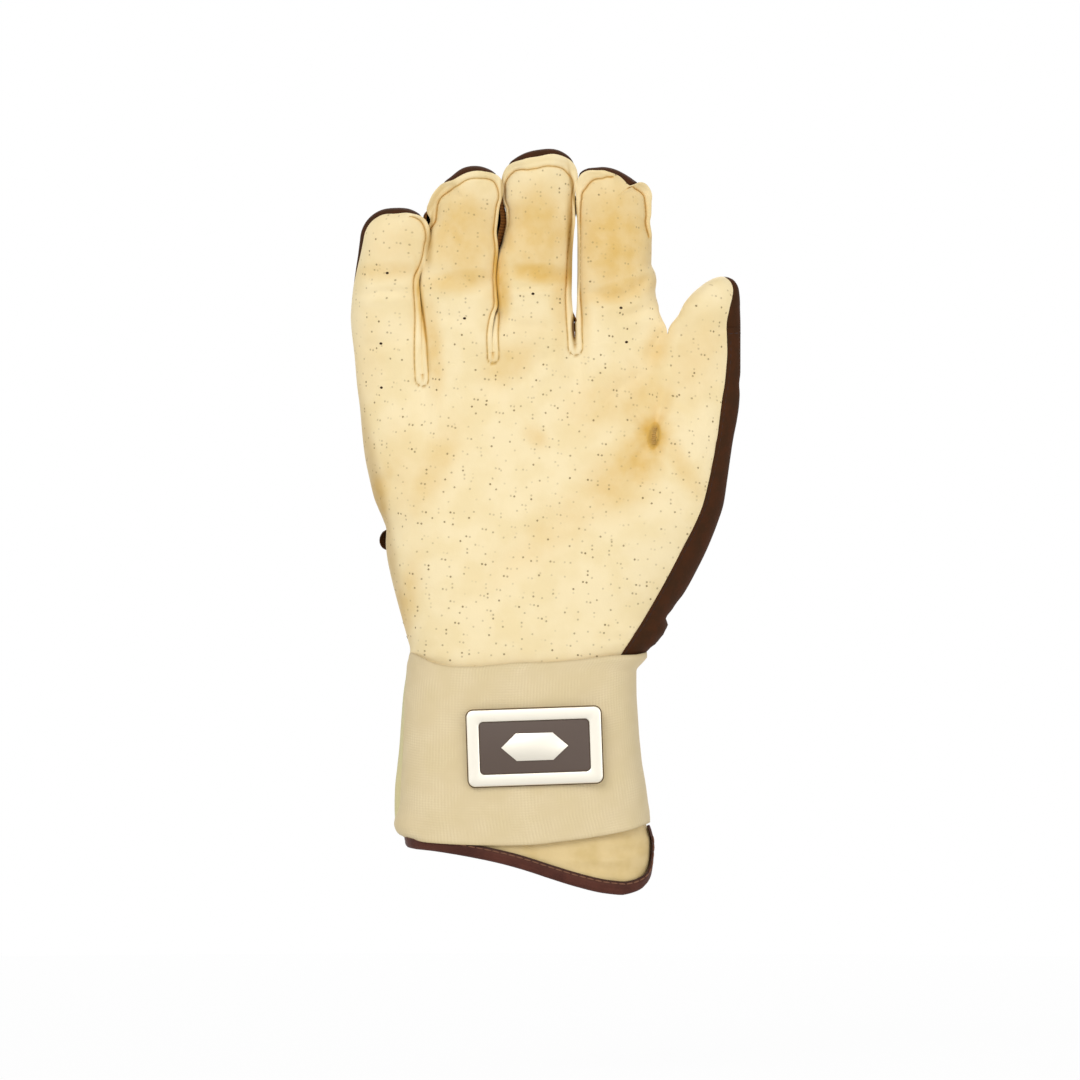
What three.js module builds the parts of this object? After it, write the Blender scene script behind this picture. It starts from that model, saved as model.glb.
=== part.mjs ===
// A right-hand batting glove with a long cuff, filled out as it is on a hand.
// Millimetres. The palm faces -Y, the fingers point up and the thumb is at +X.
// The origin is at the middle of the hand opening, level with the lowest point of its rim.

import * as THREE from "three";

// Overall sizes
const handWidth = 128.4;
const handTop = 186.5;
const palmDepth = 42;
const wall = 1.2;
const seamGap = 0.4;
const layerGap = 0.3;
const creaseGap = 0.4;

// Hand and cuff: height, left edge, right edge, front depth and back depth
const handShares = [
  [0.0, -0.299, 0.312, 0.524, 0.5],
  [0.118, -0.309, 0.292, 0.515, 0.49],
  [0.161, -0.315, 0.285, 0.512, 0.488],
  [0.241, -0.31, 0.269, 0.507, 0.483],
  [0.295, -0.304, 0.263, 0.5, 0.476],
  [0.354, -0.298, 0.258, 0.49, 0.464],
  [0.42, -0.292, 0.257, 0.476, 0.452],
  [0.445, -0.313, 0.31, 0.479, 0.45],
  [0.49, -0.329, 0.352, 0.488, 0.44],
  [0.565, -0.354, 0.419, 0.49, 0.43],
  [0.649, -0.382, 0.476, 0.486, 0.417],
  [0.735, -0.411, 0.506, 0.45, 0.39],
  [0.819, -0.4315, 0.524, 0.393, 0.357],
  [0.906, -0.4455, 0.538, 0.321, 0.31],
  [1.0, -0.458, 0.5405, 0.298, 0.274],
];
const wristSquareness = 3.2;
const palmSquareness = 2.6;
const palmStart = 72;
const palmFull = 100;

// Palm relief
const hollowDepth = 4;
const hollow = { x: -6, z: 138, halfWidth: 28, halfHeight: 32 };
const thumbBallSwell = 3;
const thumbBall = { x: 34, z: 118, halfWidth: 18, halfHeight: 30 };
const thumbForward = 7;
const thumbShift = { x: 34, width: 26, z: 95, height: 60 };
const curlStart = 165;
const curlForward = 11;
const curlPower = 1.6;

// Crotches between neighbouring fingers, from the little finger to the thumb: the height as a share
// of the hand's top, the places of the crotch and of the slit's upper end as shares of its width
const crotchShares = [
  { z: 0.906, x: -0.275, slitTop: -0.264 },
  { z: 0.945, x: -0.095, slitTop: -0.074 },
  { z: 0.957, x: 0.116, slitTop: 0.1254 },
  { z: 0.987, x: 0.352, slitTop: 0.3575 },
];
const slitWidth = 1.2;
const thumbSlitWidth = 11.8;
const valleyShare = 0.22;
const valleyHalfWidth = 4;
const valleyHeight = 30;
const webShare = 0.3;
const webHalfWidth = 9;
const webHeight = 60;

// Fingers: length beyond the base crease, rounding of the tip, how far the outer side swells and the
// inner side is set in, the crease's height as a share of the hand's top, the tip's place of its width
const little = { length: 55.1, tipRound: 13, swell: 1.6, inset: 0, creaseShare: 0.92, tipShare: -0.34 };
const ring = { length: 60.3, tipRound: 13, swell: 0, inset: 0, creaseShare: 0.9645, tipShare: -0.145 };
const middle = { length: 64.4, tipRound: 13, swell: 0, inset: 0, creaseShare: 0.973, tipShare: 0.034 };
const index = { length: 53.4, tipRound: 13, swell: 0, inset: 0.4, creaseShare: 1, tipShare: 0.223 };
const thumb = { length: 18.6, tipRound: 10, swell: 0, inset: 0, creaseShare: 0.992, tipShare: 0.495 };
const fingers = { little, ring, middle, index, thumb };
const ulnarPadShare = -0.444;
const thumbPadShare = 0.5375;
const fingerFront = 10.5;
const fingerBack = 9.5;
const fingerSquareness = 2.5;
const tipSquareness = 2.3;
const tipHalfWidth = 4;
const tipHalfDepth = 1.7;
const gussetAngle = THREE.MathUtils.degToRad(32);
const fingerSeam = THREE.MathUtils.degToRad(1.5);

// Seams of the hand, as angles round the section: 0 at the thumb, a quarter turn at the palm
const ulnarWrap = THREE.MathUtils.degToRad(10);
const thumbSeamTop = THREE.MathUtils.degToRad(25);
const thumbSeamWrist = THREE.MathUtils.degToRad(37);

// Cuff, its rim and its binding
const cuffTop = 72;
const rimRise = 14.2;
const rimLowShare = 0.76;
const cornerRise = 12.5;
const ventHalfWidth = 3;
const bindingStop = 21.4;
const bindingHeight = 3.6;
const tape = 1.0;

// Wrist strap
const strapThickness = 1.8;
const strapTopUlnar = 78.6;
const strapTopThumb = 77.6;
const strapTopDip = 3.3;
const strapBottomUlnar = 19.2;
const strapBottomThumb = 22.1;
const strapBottomDip = 4.2;
const anchorEnd = THREE.MathUtils.degToRad(52);
const tabEnd = THREE.MathUtils.degToRad(82);
const pullEnd = THREE.MathUtils.degToRad(100);
const tabEndHeight = 44;
const pullThickness = 2.4;
const patchThickness = 1.2;
const loopPatch = { start: 36, end: 112, bottom: 29, top: 67 };
const hookPatch = { start: 44, end: 79, bottom: 32, top: 62 };

// Badge on the strap
const badge = { x: 1.55, z: 49.5, width: 44, height: 25, corner: 2.2, rail: 3.9, depth: 1.8 };
const badgeTurn = THREE.MathUtils.degToRad(2);
const badgeBevel = 0.4;
const badgePanelDepth = 1.0;
const emblem = { width: 22, height: 9, point: 5, depth: 0.4 };

// Small trim
const barTack = { xShare: 0.319, z: 151.5, width: 1.8, height: 6.2, thickness: 0.9 };
const flexPanel = { start: 26, end: 136, bottom: 138, top: 152, thickness: 1.2 };
const wristElastic = { start: 30, end: 150, bottom: 84, top: 90, thickness: 1.0 };

const { lerp, clamp, smoothstep, degToRad } = THREE.MathUtils;

const finish = {
  leather: new THREE.MeshStandardMaterial({ color: 0xf6deaa, roughness: 0.62 }),
  cuff: new THREE.MeshStandardMaterial({ color: 0xe8d39a, roughness: 0.6 }),
  back: new THREE.MeshStandardMaterial({ color: 0x462618, roughness: 0.7 }),
  gusset: new THREE.MeshStandardMaterial({ color: 0x4e2c1c, roughness: 0.85 }),
  binding: new THREE.MeshStandardMaterial({ color: 0x5a322a, roughness: 0.55 }),
  elastic: new THREE.MeshStandardMaterial({ color: 0xe1d0a5, roughness: 0.9 }),
  hook: new THREE.MeshStandardMaterial({ color: 0xd8c69a, roughness: 0.95 }),
  metal: new THREE.MeshStandardMaterial({ color: 0xece3d2, roughness: 0.3, metalness: 1 }),
  panel: new THREE.MeshStandardMaterial({ color: 0x5c4a3e, roughness: 0.5 }),
  thread: new THREE.MeshStandardMaterial({ color: 0xd9b869, roughness: 0.8 }),
};

function roundPower(value, power) {
  return Math.sign(value) * Math.abs(value) ** power;
}

function bump(u, v) {
  return Math.exp(-(u * u + v * v));
}

// Values of a table of rows at a share of its first column
function rowAt(rows, share) {
  let k = 0;
  while (k < rows.length - 2 && rows[k + 1][0] < share) {
    k += 1;
  }
  const t = clamp((share - rows[k][0]) / (rows[k + 1][0] - rows[k][0]), 0, 1);
  return rows[k].map((value, column) => lerp(value, rows[k + 1][column], t));
}

function handRow(z) {
  const [, left, right, front, back] = rowAt(handShares, z / handTop);
  return {
    left: left * handWidth,
    right: right * handWidth,
    front: front * palmDepth,
    back: back * palmDepth,
  };
}

// Heights at which the outline bends: panels have a row at each
const stations = handShares.map(([share]) => share * handTop);

function stationsBetween(low, high) {
  return stations.filter((z) => z > low && z < high);
}

function squareness(z) {
  return lerp(wristSquareness, palmSquareness, smoothstep(z, palmStart, palmFull));
}

const crotches = crotchShares.map(({ z, x, slitTop }, k) => ({
  z: z * handTop,
  x: x * handWidth,
  slitTop: slitTop * handWidth,
  slit: k < crotchShares.length - 1 ? slitWidth : thumbSlitWidth,
}));

for (const finger of Object.values(fingers)) {
  finger.crease = finger.creaseShare * handTop;
  finger.tip = finger.crease + finger.length;
  finger.tipX = finger.tipShare * handWidth;
}

// The middle surface leans forward at the thumb and along the fingers
function middleY(x, z) {
  const curl = clamp((z - curlStart) / (middle.tip - curlStart), 0, 1) ** curlPower;
  const across = smoothstep(x, thumbShift.x, thumbShift.x + thumbShift.width);
  const along = smoothstep(z, thumbShift.z, thumbShift.z + thumbShift.height);
  return -curlForward * curl - thumbForward * across * along;
}

function palmRelief(x, z) {
  const sunk = bump((x - hollow.x) / hollow.halfWidth, (z - hollow.z) / hollow.halfHeight);
  const swollen = bump((x - thumbBall.x) / thumbBall.halfWidth, (z - thumbBall.z) / thumbBall.halfHeight);
  return thumbBallSwell * swollen - hollowDepth * sunk;
}

// Share of the depth that is left beside the valleys that run down from the crotches
function valleyFactor(x, z) {
  let factor = 1;
  crotches.forEach((crotch, k) => {
    const web = k === crotches.length - 1;
    const share = web ? webShare : valleyShare;
    const halfWidth = web ? webHalfWidth : valleyHalfWidth;
    const height = web ? webHeight : valleyHeight;
    const fade = smoothstep(z, crotch.z - height, crotch.z);
    factor *= 1 - share * fade * bump((x - crotch.x) / halfWidth, 0);
  });
  return factor;
}

// A point of the hand and cuff at an angle round the section, inset from the outer skin
function handPoint(angle, z, inset) {
  const { left, right, front, back } = handRow(z);
  const power = 2 / squareness(z);
  const halfWidth = (right - left) / 2 - inset;
  const x = (left + right) / 2 + halfWidth * roundPower(Math.cos(angle), power);
  const rise = roundPower(Math.sin(angle), power);
  const depth = rise > 0 ? front + palmRelief(x, z) : back;
  return new THREE.Vector3(x, middleY(x, z) - (depth - inset) * rise * valleyFactor(x, z), z);
}

// The angle on the palm side at which the outer skin has this x
function angleAt(x, z) {
  const { left, right } = handRow(z);
  const across = clamp((x - (left + right) / 2) / ((right - left) / 2), -1, 1);
  return Math.acos(roundPower(across, squareness(z) / 2));
}

// A closed slab between two skins: pointAt(column, row, inset) gives both
function slab(pointAt, columns, rows, outerInset, innerInset) {
  const points = [];
  const place = (layer, i, j) => (layer * (rows + 1) + j) * (columns + 1) + i;
  for (const inset of [outerInset, innerInset]) {
    for (let j = 0; j <= rows; j += 1) {
      for (let i = 0; i <= columns; i += 1) {
        points.push(pointAt(i, j, inset));
      }
    }
  }
  const faces = [];
  const quad = (a, b, c, d) => faces.push(a, b, c, a, c, d);
  for (let j = 0; j < rows; j += 1) {
    for (let i = 0; i < columns; i += 1) {
      quad(place(0, i, j), place(0, i + 1, j), place(0, i + 1, j + 1), place(0, i, j + 1));
      quad(place(1, i, j), place(1, i, j + 1), place(1, i + 1, j + 1), place(1, i + 1, j));
    }
  }
  for (let i = 0; i < columns; i += 1) {
    quad(place(0, i, 0), place(1, i, 0), place(1, i + 1, 0), place(0, i + 1, 0));
    quad(place(0, i, rows), place(0, i + 1, rows), place(1, i + 1, rows), place(1, i, rows));
  }
  for (let j = 0; j < rows; j += 1) {
    quad(place(0, 0, j), place(0, 0, j + 1), place(1, 0, j + 1), place(1, 0, j));
    quad(place(0, columns, j), place(1, columns, j), place(1, columns, j + 1), place(0, columns, j + 1));
  }
  return closedGeometry(points, faces);
}

// A profile carried along frames, closed at both ends
function sweep(profile, frames) {
  const points = [];
  const faces = [];
  const count = profile.length;
  for (const { origin, across, out } of frames) {
    for (const corner of profile) {
      points.push(origin.clone().addScaledVector(across, corner.x).addScaledVector(out, corner.y));
    }
  }
  for (let k = 0; k < frames.length - 1; k += 1) {
    for (let i = 0; i < count; i += 1) {
      const next = (i + 1) % count;
      const [a, b] = [k * count + i, k * count + next];
      faces.push(a, b, b + count, a, b + count, a + count);
    }
  }
  const last = (frames.length - 1) * count;
  for (const [a, b, c] of THREE.ShapeUtils.triangulateShape(profile, [])) {
    faces.push(a, c, b);
    faces.push(last + a, last + b, last + c);
  }
  return closedGeometry(points, faces);
}

// A BufferGeometry whose faces point outwards
function closedGeometry(points, faces) {
  let volume = 0;
  for (let k = 0; k < faces.length; k += 3) {
    const [a, b, c] = [points[faces[k]], points[faces[k + 1]], points[faces[k + 2]]];
    volume += a.dot(b.clone().cross(c));
  }
  if (volume < 0) {
    faces.reverse();
  }
  const geometry = new THREE.BufferGeometry().setFromPoints(points);
  geometry.setIndex(faces);
  geometry.computeVertexNormals();
  return geometry;
}

const group = new THREE.Group();

function add(name, geometry, material) {
  const mesh = new THREE.Mesh(geometry, material);
  mesh.name = name;
  group.add(mesh);
  return mesh;
}

// Left and right edges of each finger, where it meets the palm and at its pad
const fingerNames = Object.keys(fingers);
fingerNames.forEach((name, k) => {
  const finger = fingers[name];
  const before = crotches[k - 1];
  const after = crotches[k];
  const edge = handRow(finger.crease);
  finger.left = before ? before.x + slitWidth / 2 : edge.left;
  finger.right = after ? after.x - slitWidth / 2 - finger.inset : edge.right;
  finger.leftPad = before ? before.slitTop + before.slit / 2 : ulnarPadShare * handWidth;
  finger.rightPad = after ? after.slitTop - after.slit / 2 : thumbPadShare * handWidth;
  const centre = (finger.left + finger.right) / 2;
  const angle = angleAt(centre, finger.crease);
  const y = middleY(centre, finger.crease);
  finger.frontRoot = y - handPoint(angle, finger.crease, 0).y;
  finger.backRoot = handPoint(-angle, finger.crease, 0).y - y;
});

// Row 0 is the base crease, 1 the pad and 2 the tip
function fingerPoint(finger, angle, row, inset) {
  const shaft = Math.min(row, 1);
  const tip = Math.max(row - 1, 0);
  const pad = finger.tip - finger.tipRound;
  const z = tip > 0 ? lerp(pad, finger.tip - inset, tip) : lerp(finger.crease + creaseGap / 2, pad, shaft);
  const left = lerp(finger.left, finger.leftPad, shaft) - finger.swell * 4 * shaft * (1 - shaft);
  const right = lerp(finger.right, finger.rightPad, shaft);
  const rounding = (1 - tip ** tipSquareness) ** (1 / tipSquareness);
  const centre = lerp((left + right) / 2, finger.tipX, tip * tip);
  const halfWidth = lerp(tipHalfWidth, (right - left) / 2, rounding) - inset;
  const front = lerp(tipHalfDepth, lerp(finger.frontRoot, fingerFront, shaft), rounding) - inset;
  const back = lerp(tipHalfDepth, lerp(finger.backRoot, fingerBack, shaft), rounding) - inset;
  const power = 2 / fingerSquareness;
  const rise = roundPower(Math.sin(angle), power);
  const x = centre + halfWidth * roundPower(Math.cos(angle), power);
  return new THREE.Vector3(x, middleY(centre, z) - (rise > 0 ? front : back) * rise, z);
}

const fingerRows = [0, 0.25, 0.5, 0.75, 1, 1.35, 1.6, 1.8, 1.93, 2];

function fingerPanel(name, finger, from, to, columns, material) {
  const pointAt = (i, j, inset) => {
    const angle = lerp(from + fingerSeam, to - fingerSeam, i / columns);
    return fingerPoint(finger, angle, fingerRows[j], inset);
  };
  add(name, slab(pointAt, columns, fingerRows.length - 1, 0, wall), material);
}

function addFingers() {
  fingerNames.forEach((name, k) => {
    const finger = fingers[name];
    const gussetLeft = k > 0 && name !== "thumb" ? gussetAngle : 0;
    const gussetRight = k < 3 ? gussetAngle : 0;
    fingerPanel(`${name}_front`, finger, gussetRight, Math.PI - gussetLeft, 7, finish.leather);
    fingerPanel(`${name}_back`, finger, Math.PI + gussetLeft, 2 * Math.PI - gussetRight, 7, finish.back);
    if (gussetRight > 0) {
      fingerPanel(`${name}_gusset_right`, finger, -gussetRight, gussetRight, 2, finish.gusset);
    }
    if (gussetLeft > 0) {
      fingerPanel(`${name}_gusset_left`, finger, Math.PI - gussetLeft, Math.PI + gussetLeft, 2, finish.gusset);
    }
  });
}

// The edge where the fingers start, on one face: angle and height of each column of the panel
const laneColumnShares = {
  ring: [0, 0.33, 0.67, 1],
  middle: [0, 0.33, 0.67, 1],
  index: [0, 0.3, 0.6, 1],
};
const frontColumnShares = { ...laneColumnShares, little: [0.03, 0.14, 0.4, 0.7, 1], thumb: [0, 0.35, 0.7] };
const backColumnShares = { ...laneColumnShares, little: [0.12, 0.4, 0.7, 1], thumb: [0, 0.35, 0.7, 0.92] };

function knuckleEdge(columnShares) {
  const edge = [];
  fingerNames.forEach((name, k) => {
    const { left, right, crease } = fingers[name];
    for (const share of columnShares[name]) {
      edge.push({ angle: angleAt(lerp(left, right, share), crease), z: crease - creaseGap / 2 });
    }
    if (k < crotches.length) {
      edge.push({ angle: angleAt(crotches[k].x, crotches[k].z), z: crotches[k].z });
    }
  });
  return edge;
}

function thumbSeam(z) {
  return lerp(thumbSeamWrist, thumbSeamTop, smoothstep(z, cuffTop, thumb.crease));
}

// Palm or back of the hand: columns run from the ulnar seam to the seam on the thumb
function handPanel(name, side, edge, material) {
  const lower = [cuffTop + layerGap / 2, ...stationsBetween(cuffTop, barTack.z + barTack.height)];
  const upperShares = [1 / 3, 2 / 3, 1];
  const start = Math.PI + side * ulnarWrap;
  const gap = seamGap / palmDepth;
  const seamAt = (z) => start - (side > 0 ? thumbSeam(z) : -thumbSeam(z)) - gap;
  const pointAt = (i, j, inset) => {
    const last = lower[lower.length - 1];
    const z = lower[j] ?? lerp(last, edge[i].z, upperShares[j - lower.length]);
    const full = start - edge[edge.length - 1].angle;
    const reach = ((start - edge[i].angle) / full) * seamAt(z);
    const angle = start - reach - gap / 2;
    return handPoint(side * angle, z, inset);
  };
  const rows = lower.length + upperShares.length - 1;
  add(name, slab(pointAt, edge.length - 1, rows, 0, wall), material);
}

function addHand() {
  const thumbCrease = thumb.crease - creaseGap / 2;
  const littleCrease = little.crease - creaseGap / 2;
  const front = [
    { angle: Math.PI + ulnarWrap, z: littleCrease },
    ...knuckleEdge(frontColumnShares),
    { angle: thumbSeamTop, z: thumbCrease },
  ];
  const back = [
    { angle: Math.PI - ulnarWrap, z: littleCrease },
    ...knuckleEdge(backColumnShares),
    { angle: 0, z: thumbCrease },
    { angle: -thumbSeamTop, z: thumbCrease },
  ];
  handPanel("palm_leather", 1, front, finish.leather);
  handPanel("back_panel", -1, back, finish.back);
}

// A folded strip closes the hand between two fingers
function addWebs() {
  crotches.forEach((crotch, k) => {
    const [before, after] = [fingers[fingerNames[k]], fingers[fingerNames[k + 1]]];
    const inner = slitWidth / 2;
    const outer = inner + wall;
    const skinAt = (side, x, z) => handPoint(side * angleAt(x, z), z, wall).y;
    const corners = [-outer, outer].flatMap((reach) => [
      [crotch.x + reach, crotch.z - 2 * wall],
      [crotch.x + reach, (reach < 0 ? before : after).crease],
    ]);
    const front = Math.max(...corners.map(([x, z]) => skinAt(1, x, z))) + 2 * layerGap;
    const rear = Math.min(...corners.map(([x, z]) => skinAt(-1, x, z))) - 2 * layerGap;
    const leftTop = before.crease - creaseGap / 2 - crotch.z;
    const rightTop = after.crease - creaseGap / 2 - crotch.z;
    const outline = new THREE.Shape([
      new THREE.Vector2(-outer, leftTop),
      new THREE.Vector2(-outer, -wall),
      new THREE.Vector2(-inner, -2 * wall),
      new THREE.Vector2(inner, -2 * wall),
      new THREE.Vector2(outer, -wall),
      new THREE.Vector2(outer, rightTop),
      new THREE.Vector2(inner, rightTop),
      new THREE.Vector2(inner, 0),
      new THREE.Vector2(-inner, 0),
      new THREE.Vector2(-inner, leftTop),
    ]);
    const geometry = new THREE.ExtrudeGeometry(outline, { depth: rear - front, bevelEnabled: false });
    const mesh = add(`web_${fingerNames[k]}_${fingerNames[k + 1]}`, geometry, finish.gusset);
    mesh.rotation.x = Math.PI / 2;
    mesh.position.set(crotch.x, rear, crotch.z);
  });
}

// Height of the cuff's rim: high at the ulnar side, low towards the thumb, rounded up at the vent
function rimHeight(angle) {
  const across = roundPower(Math.cos(angle), 2 / wristSquareness);
  const lowAngle = Math.acos(roundPower(rimLowShare, wristSquareness / 2));
  if (across < rimLowShare) {
    return (rimRise * (1 + Math.cos((Math.PI * (across + 1)) / (1 + rimLowShare)))) / 2;
  }
  const t = 1 - Math.abs(angle) / lowAngle;
  return cornerRise * (1 - Math.sqrt(1 - t * t));
}

// The angle at which the cuff's skin is this far in front of its thumb side
function ventAngle(reach, z) {
  return Math.asin((reach / handRow(z).front) ** (squareness(z) / 2));
}

// Angles of the cuff's columns, and the height of its edge, which the tape is folded over
const cuffColumns = 18;

function cuffAngle(i) {
  const vent = ventAngle(ventHalfWidth + tape + layerGap, cornerRise);
  return lerp(vent, Math.PI - ventAngle(seamGap / 2, cornerRise), i / cuffColumns);
}

function cuffEdge(angle) {
  return rimHeight(angle) + tape + layerGap;
}

function cuffPanel(name, side) {
  const upper = [...stationsBetween(bindingStop, cuffTop), cuffTop - layerGap / 2];
  const pointAt = (i, j, inset) => {
    const angle = cuffAngle(i);
    const z = upper[j - 1] ?? cuffEdge(angle);
    return handPoint(side * angle, z, inset);
  };
  add(name, slab(pointAt, cuffColumns, upper.length, 0, wall), finish.cuff);
}

// The tape is folded round the whole rim and up both edges of the vent
function addBinding() {
  const vent = cuffAngle(0);
  const half = [1, 1 / 2].map((share) => ({ angle: vent, z: lerp(cuffEdge(vent), bindingStop, share) }));
  for (let i = 0; i <= cuffColumns; i += 1) {
    half.push({ angle: cuffAngle(i), z: cuffEdge(cuffAngle(i)) });
  }
  const path = [...half, ...half.toReversed().map(({ angle, z }) => ({ angle: 2 * Math.PI - angle, z }))];
  const spots = path.map(({ angle, z }) => handPoint(angle, z, 0));
  const frames = path.map(({ angle, z }, k) => {
    const ahead = spots[Math.min(k + 1, spots.length - 1)];
    const behind = spots[Math.max(k - 1, 0)];
    const along = ahead.clone().sub(behind).normalize();
    const round = handPoint(angle + fingerSeam, z, 0).sub(handPoint(angle - fingerSeam, z, 0));
    const up = handPoint(angle, z + wall, 0).sub(spots[k]);
    const out = up.cross(round).normalize();
    const across = along.clone().cross(out).normalize();
    return { origin: spots[k], across, out };
  });
  const high = layerGap + tape;
  const low = -wall - high;
  const reach = bindingHeight - high;
  const profile = [
    new THREE.Vector2(-high, low),
    new THREE.Vector2(reach, low),
    new THREE.Vector2(reach, low + tape),
    new THREE.Vector2(-layerGap, low + tape),
    new THREE.Vector2(-layerGap, high - tape),
    new THREE.Vector2(reach, high - tape),
    new THREE.Vector2(reach, high),
    new THREE.Vector2(-high, high),
  ];
  add("cuff_binding", sweep(profile, frames), finish.binding);
}

// The strap's edges dip from its sides to the middle of the palm side and of the back
function strapEdge(angle, thumbHeight, ulnarHeight, dip) {
  const across = roundPower(Math.cos(angle), 2 / wristSquareness);
  return lerp(ulnarHeight, thumbHeight, (1 + across) / 2) - dip * (1 - across * across);
}

function strapTop(angle) {
  return strapEdge(angle, strapTopThumb, strapTopUlnar, strapTopDip);
}

function strapBottom(angle) {
  return strapEdge(angle, strapBottomThumb, strapBottomUlnar, strapBottomDip);
}

// A band on the cuff from one angle to another, lying this far out of its skin
function bandGeometry({ from, to, columns, liftAt, thickness, bottomAt, topAt }) {
  const low = Math.max(bottomAt(from), bottomAt(to));
  const high = Math.min(topAt(from), topAt(to)) - strapTopDip;
  const between = stationsBetween(low, high);
  const pointAt = (i, j, inset) => {
    const angle = lerp(from, to, i / columns);
    const z = j === 0 ? bottomAt(angle) : (between[j - 1] ?? topAt(angle));
    return handPoint(angle, z, inset - liftAt(angle));
  };
  return slab(pointAt, columns, between.length + 1, -thickness, 0);
}

function addPatch(name, { start, end, bottom, top, thickness }, lift, columns, material) {
  const shape = {
    from: Math.PI + degToRad(start),
    to: Math.PI + degToRad(end),
    columns,
    liftAt: () => lift,
    thickness,
    bottomAt: () => bottom,
    topAt: () => top,
  };
  add(name, bandGeometry(shape), material);
}

function addStrap() {
  const gap = ventAngle(seamGap / 2, cuffTop);
  const endGap = seamGap / palmDepth;
  const flat = () => layerGap;
  const stack = 3 * layerGap + 2 * patchThickness;
  const liftAt = (angle) => {
    const share = (angle - Math.PI) / degToRad(loopPatch.start);
    return lerp(layerGap, stack, smoothstep(share, 0, 1));
  };
  const band = { from: gap, to: Math.PI - gap, columns: 18, thickness: strapThickness };
  add("strap_band", bandGeometry({ ...band, liftAt: flat, bottomAt: strapBottom, topAt: strapTop }), finish.elastic);
  const anchor = { from: -anchorEnd, to: -gap, columns: 6, thickness: strapThickness };
  add("strap_anchor", bandGeometry({ ...anchor, liftAt: flat, bottomAt: strapBottom, topAt: strapTop }), finish.elastic);

  const tabFrom = Math.PI + gap;
  const tabTo = Math.PI + tabEnd;
  const centre = (strapTop(Math.PI) + strapBottom(Math.PI)) / 2;
  const narrow = (angle) => smoothstep(angle, Math.PI + tabEnd / 2, tabTo);
  const tab = {
    from: tabFrom,
    to: tabTo,
    columns: 12,
    liftAt,
    thickness: strapThickness,
    bottomAt: (angle) => lerp(strapBottom(angle), centre - tabEndHeight / 2, narrow(angle)),
    topAt: (angle) => lerp(strapTop(angle), centre + tabEndHeight / 2, narrow(angle)),
  };
  add("strap_tab", bandGeometry(tab), finish.elastic);
  const pull = {
    ...tab,
    from: tabTo + endGap,
    to: Math.PI + pullEnd,
    columns: 3,
    thickness: pullThickness,
  };
  add("pull_tab", bandGeometry(pull), finish.binding);

  const hookLift = 2 * layerGap + patchThickness;
  addPatch("loop_patch", { ...loopPatch, thickness: patchThickness }, layerGap, 9, finish.hook);
  addPatch("hook_patch", { ...hookPatch, thickness: patchThickness }, hookLift, 5, finish.hook);
}

function roundedRectangle(target, width, height, corner) {
  const [w, h] = [width / 2, height / 2];
  target.moveTo(-w + corner, -h);
  target.lineTo(w - corner, -h);
  target.absarc(w - corner, -h + corner, corner, -Math.PI / 2, 0);
  target.lineTo(w, h - corner);
  target.absarc(w - corner, h - corner, corner, 0, Math.PI / 2);
  target.lineTo(-w + corner, h);
  target.absarc(-w + corner, h - corner, corner, Math.PI / 2, Math.PI);
  target.lineTo(-w, -h + corner);
  target.absarc(-w + corner, -h + corner, corner, Math.PI, 1.5 * Math.PI);
  return target;
}

// The badge is a rounded frame round a sunk panel that carries a plain pointed bar
function addBadge() {
  const lift = 2 * layerGap + strapThickness;
  const back = handPoint(angleAt(badge.x, badge.z), badge.z, -lift).y;
  const upright = (mesh, y) => {
    mesh.rotation.set(Math.PI / 2, -badgeTurn, 0, "YXZ");
    mesh.position.set(badge.x, y, badge.z);
  };
  const bevel = {
    bevelSize: badgeBevel,
    bevelThickness: badgeBevel,
    bevelOffset: -badgeBevel,
    bevelSegments: 1,
    curveSegments: 3,
  };
  const openWidth = badge.width - 2 * badge.rail;
  const openHeight = badge.height - 2 * badge.rail;
  const outer = roundedRectangle(new THREE.Shape(), badge.width, badge.height, badge.corner);
  outer.holes.push(roundedRectangle(new THREE.Path(), openWidth, openHeight, badge.corner / 2));
  const frame = new THREE.ExtrudeGeometry(outer, { ...bevel, depth: badge.depth - 2 * badgeBevel });
  upright(add("badge_frame", frame, finish.metal), back - badgeBevel);

  const clear = 2 * layerGap;
  const inner = roundedRectangle(new THREE.Shape(), openWidth - clear, openHeight - clear, badge.corner / 2);
  const panel = new THREE.ExtrudeGeometry(inner, { depth: badgePanelDepth, bevelEnabled: false, curveSegments: 3 });
  upright(add("badge_panel", panel, finish.panel), back);

  const [w, h] = [emblem.width / 2, emblem.height / 2];
  const bar = new THREE.Shape([
    new THREE.Vector2(-w, 0),
    new THREE.Vector2(emblem.point - w, -h),
    new THREE.Vector2(w - emblem.point, -h),
    new THREE.Vector2(w, 0),
    new THREE.Vector2(w - emblem.point, h),
    new THREE.Vector2(emblem.point - w, h),
  ]);
  const raised = new THREE.ExtrudeGeometry(bar, { depth: emblem.depth, bevelEnabled: false });
  upright(add("badge_emblem", raised, finish.metal), back - badgePanelDepth - layerGap);
}

function addTrim() {
  addPatch("knuckle_flex_panel", flexPanel, 2 * layerGap, 12, finish.gusset);
  const inside = -wall - 2 * layerGap - wristElastic.thickness;
  addPatch("wrist_elastic", wristElastic, inside, 12, finish.elastic);
  const pointAt = (i, j, inset) => {
    const x = barTack.xShare * handWidth + barTack.width * (i / 2 - 1 / 2);
    const z = barTack.z + barTack.height * (j / 2 - 1 / 2);
    return handPoint(angleAt(x, z), z, inset - layerGap);
  };
  add("palm_bar_tack", slab(pointAt, 2, 2, -barTack.thickness, 0), finish.thread);
}

addHand();
addFingers();
addWebs();
cuffPanel("cuff_front", 1);
cuffPanel("cuff_back", -1);
addBinding();
addStrap();
addBadge();
addTrim();

export default group;
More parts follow.
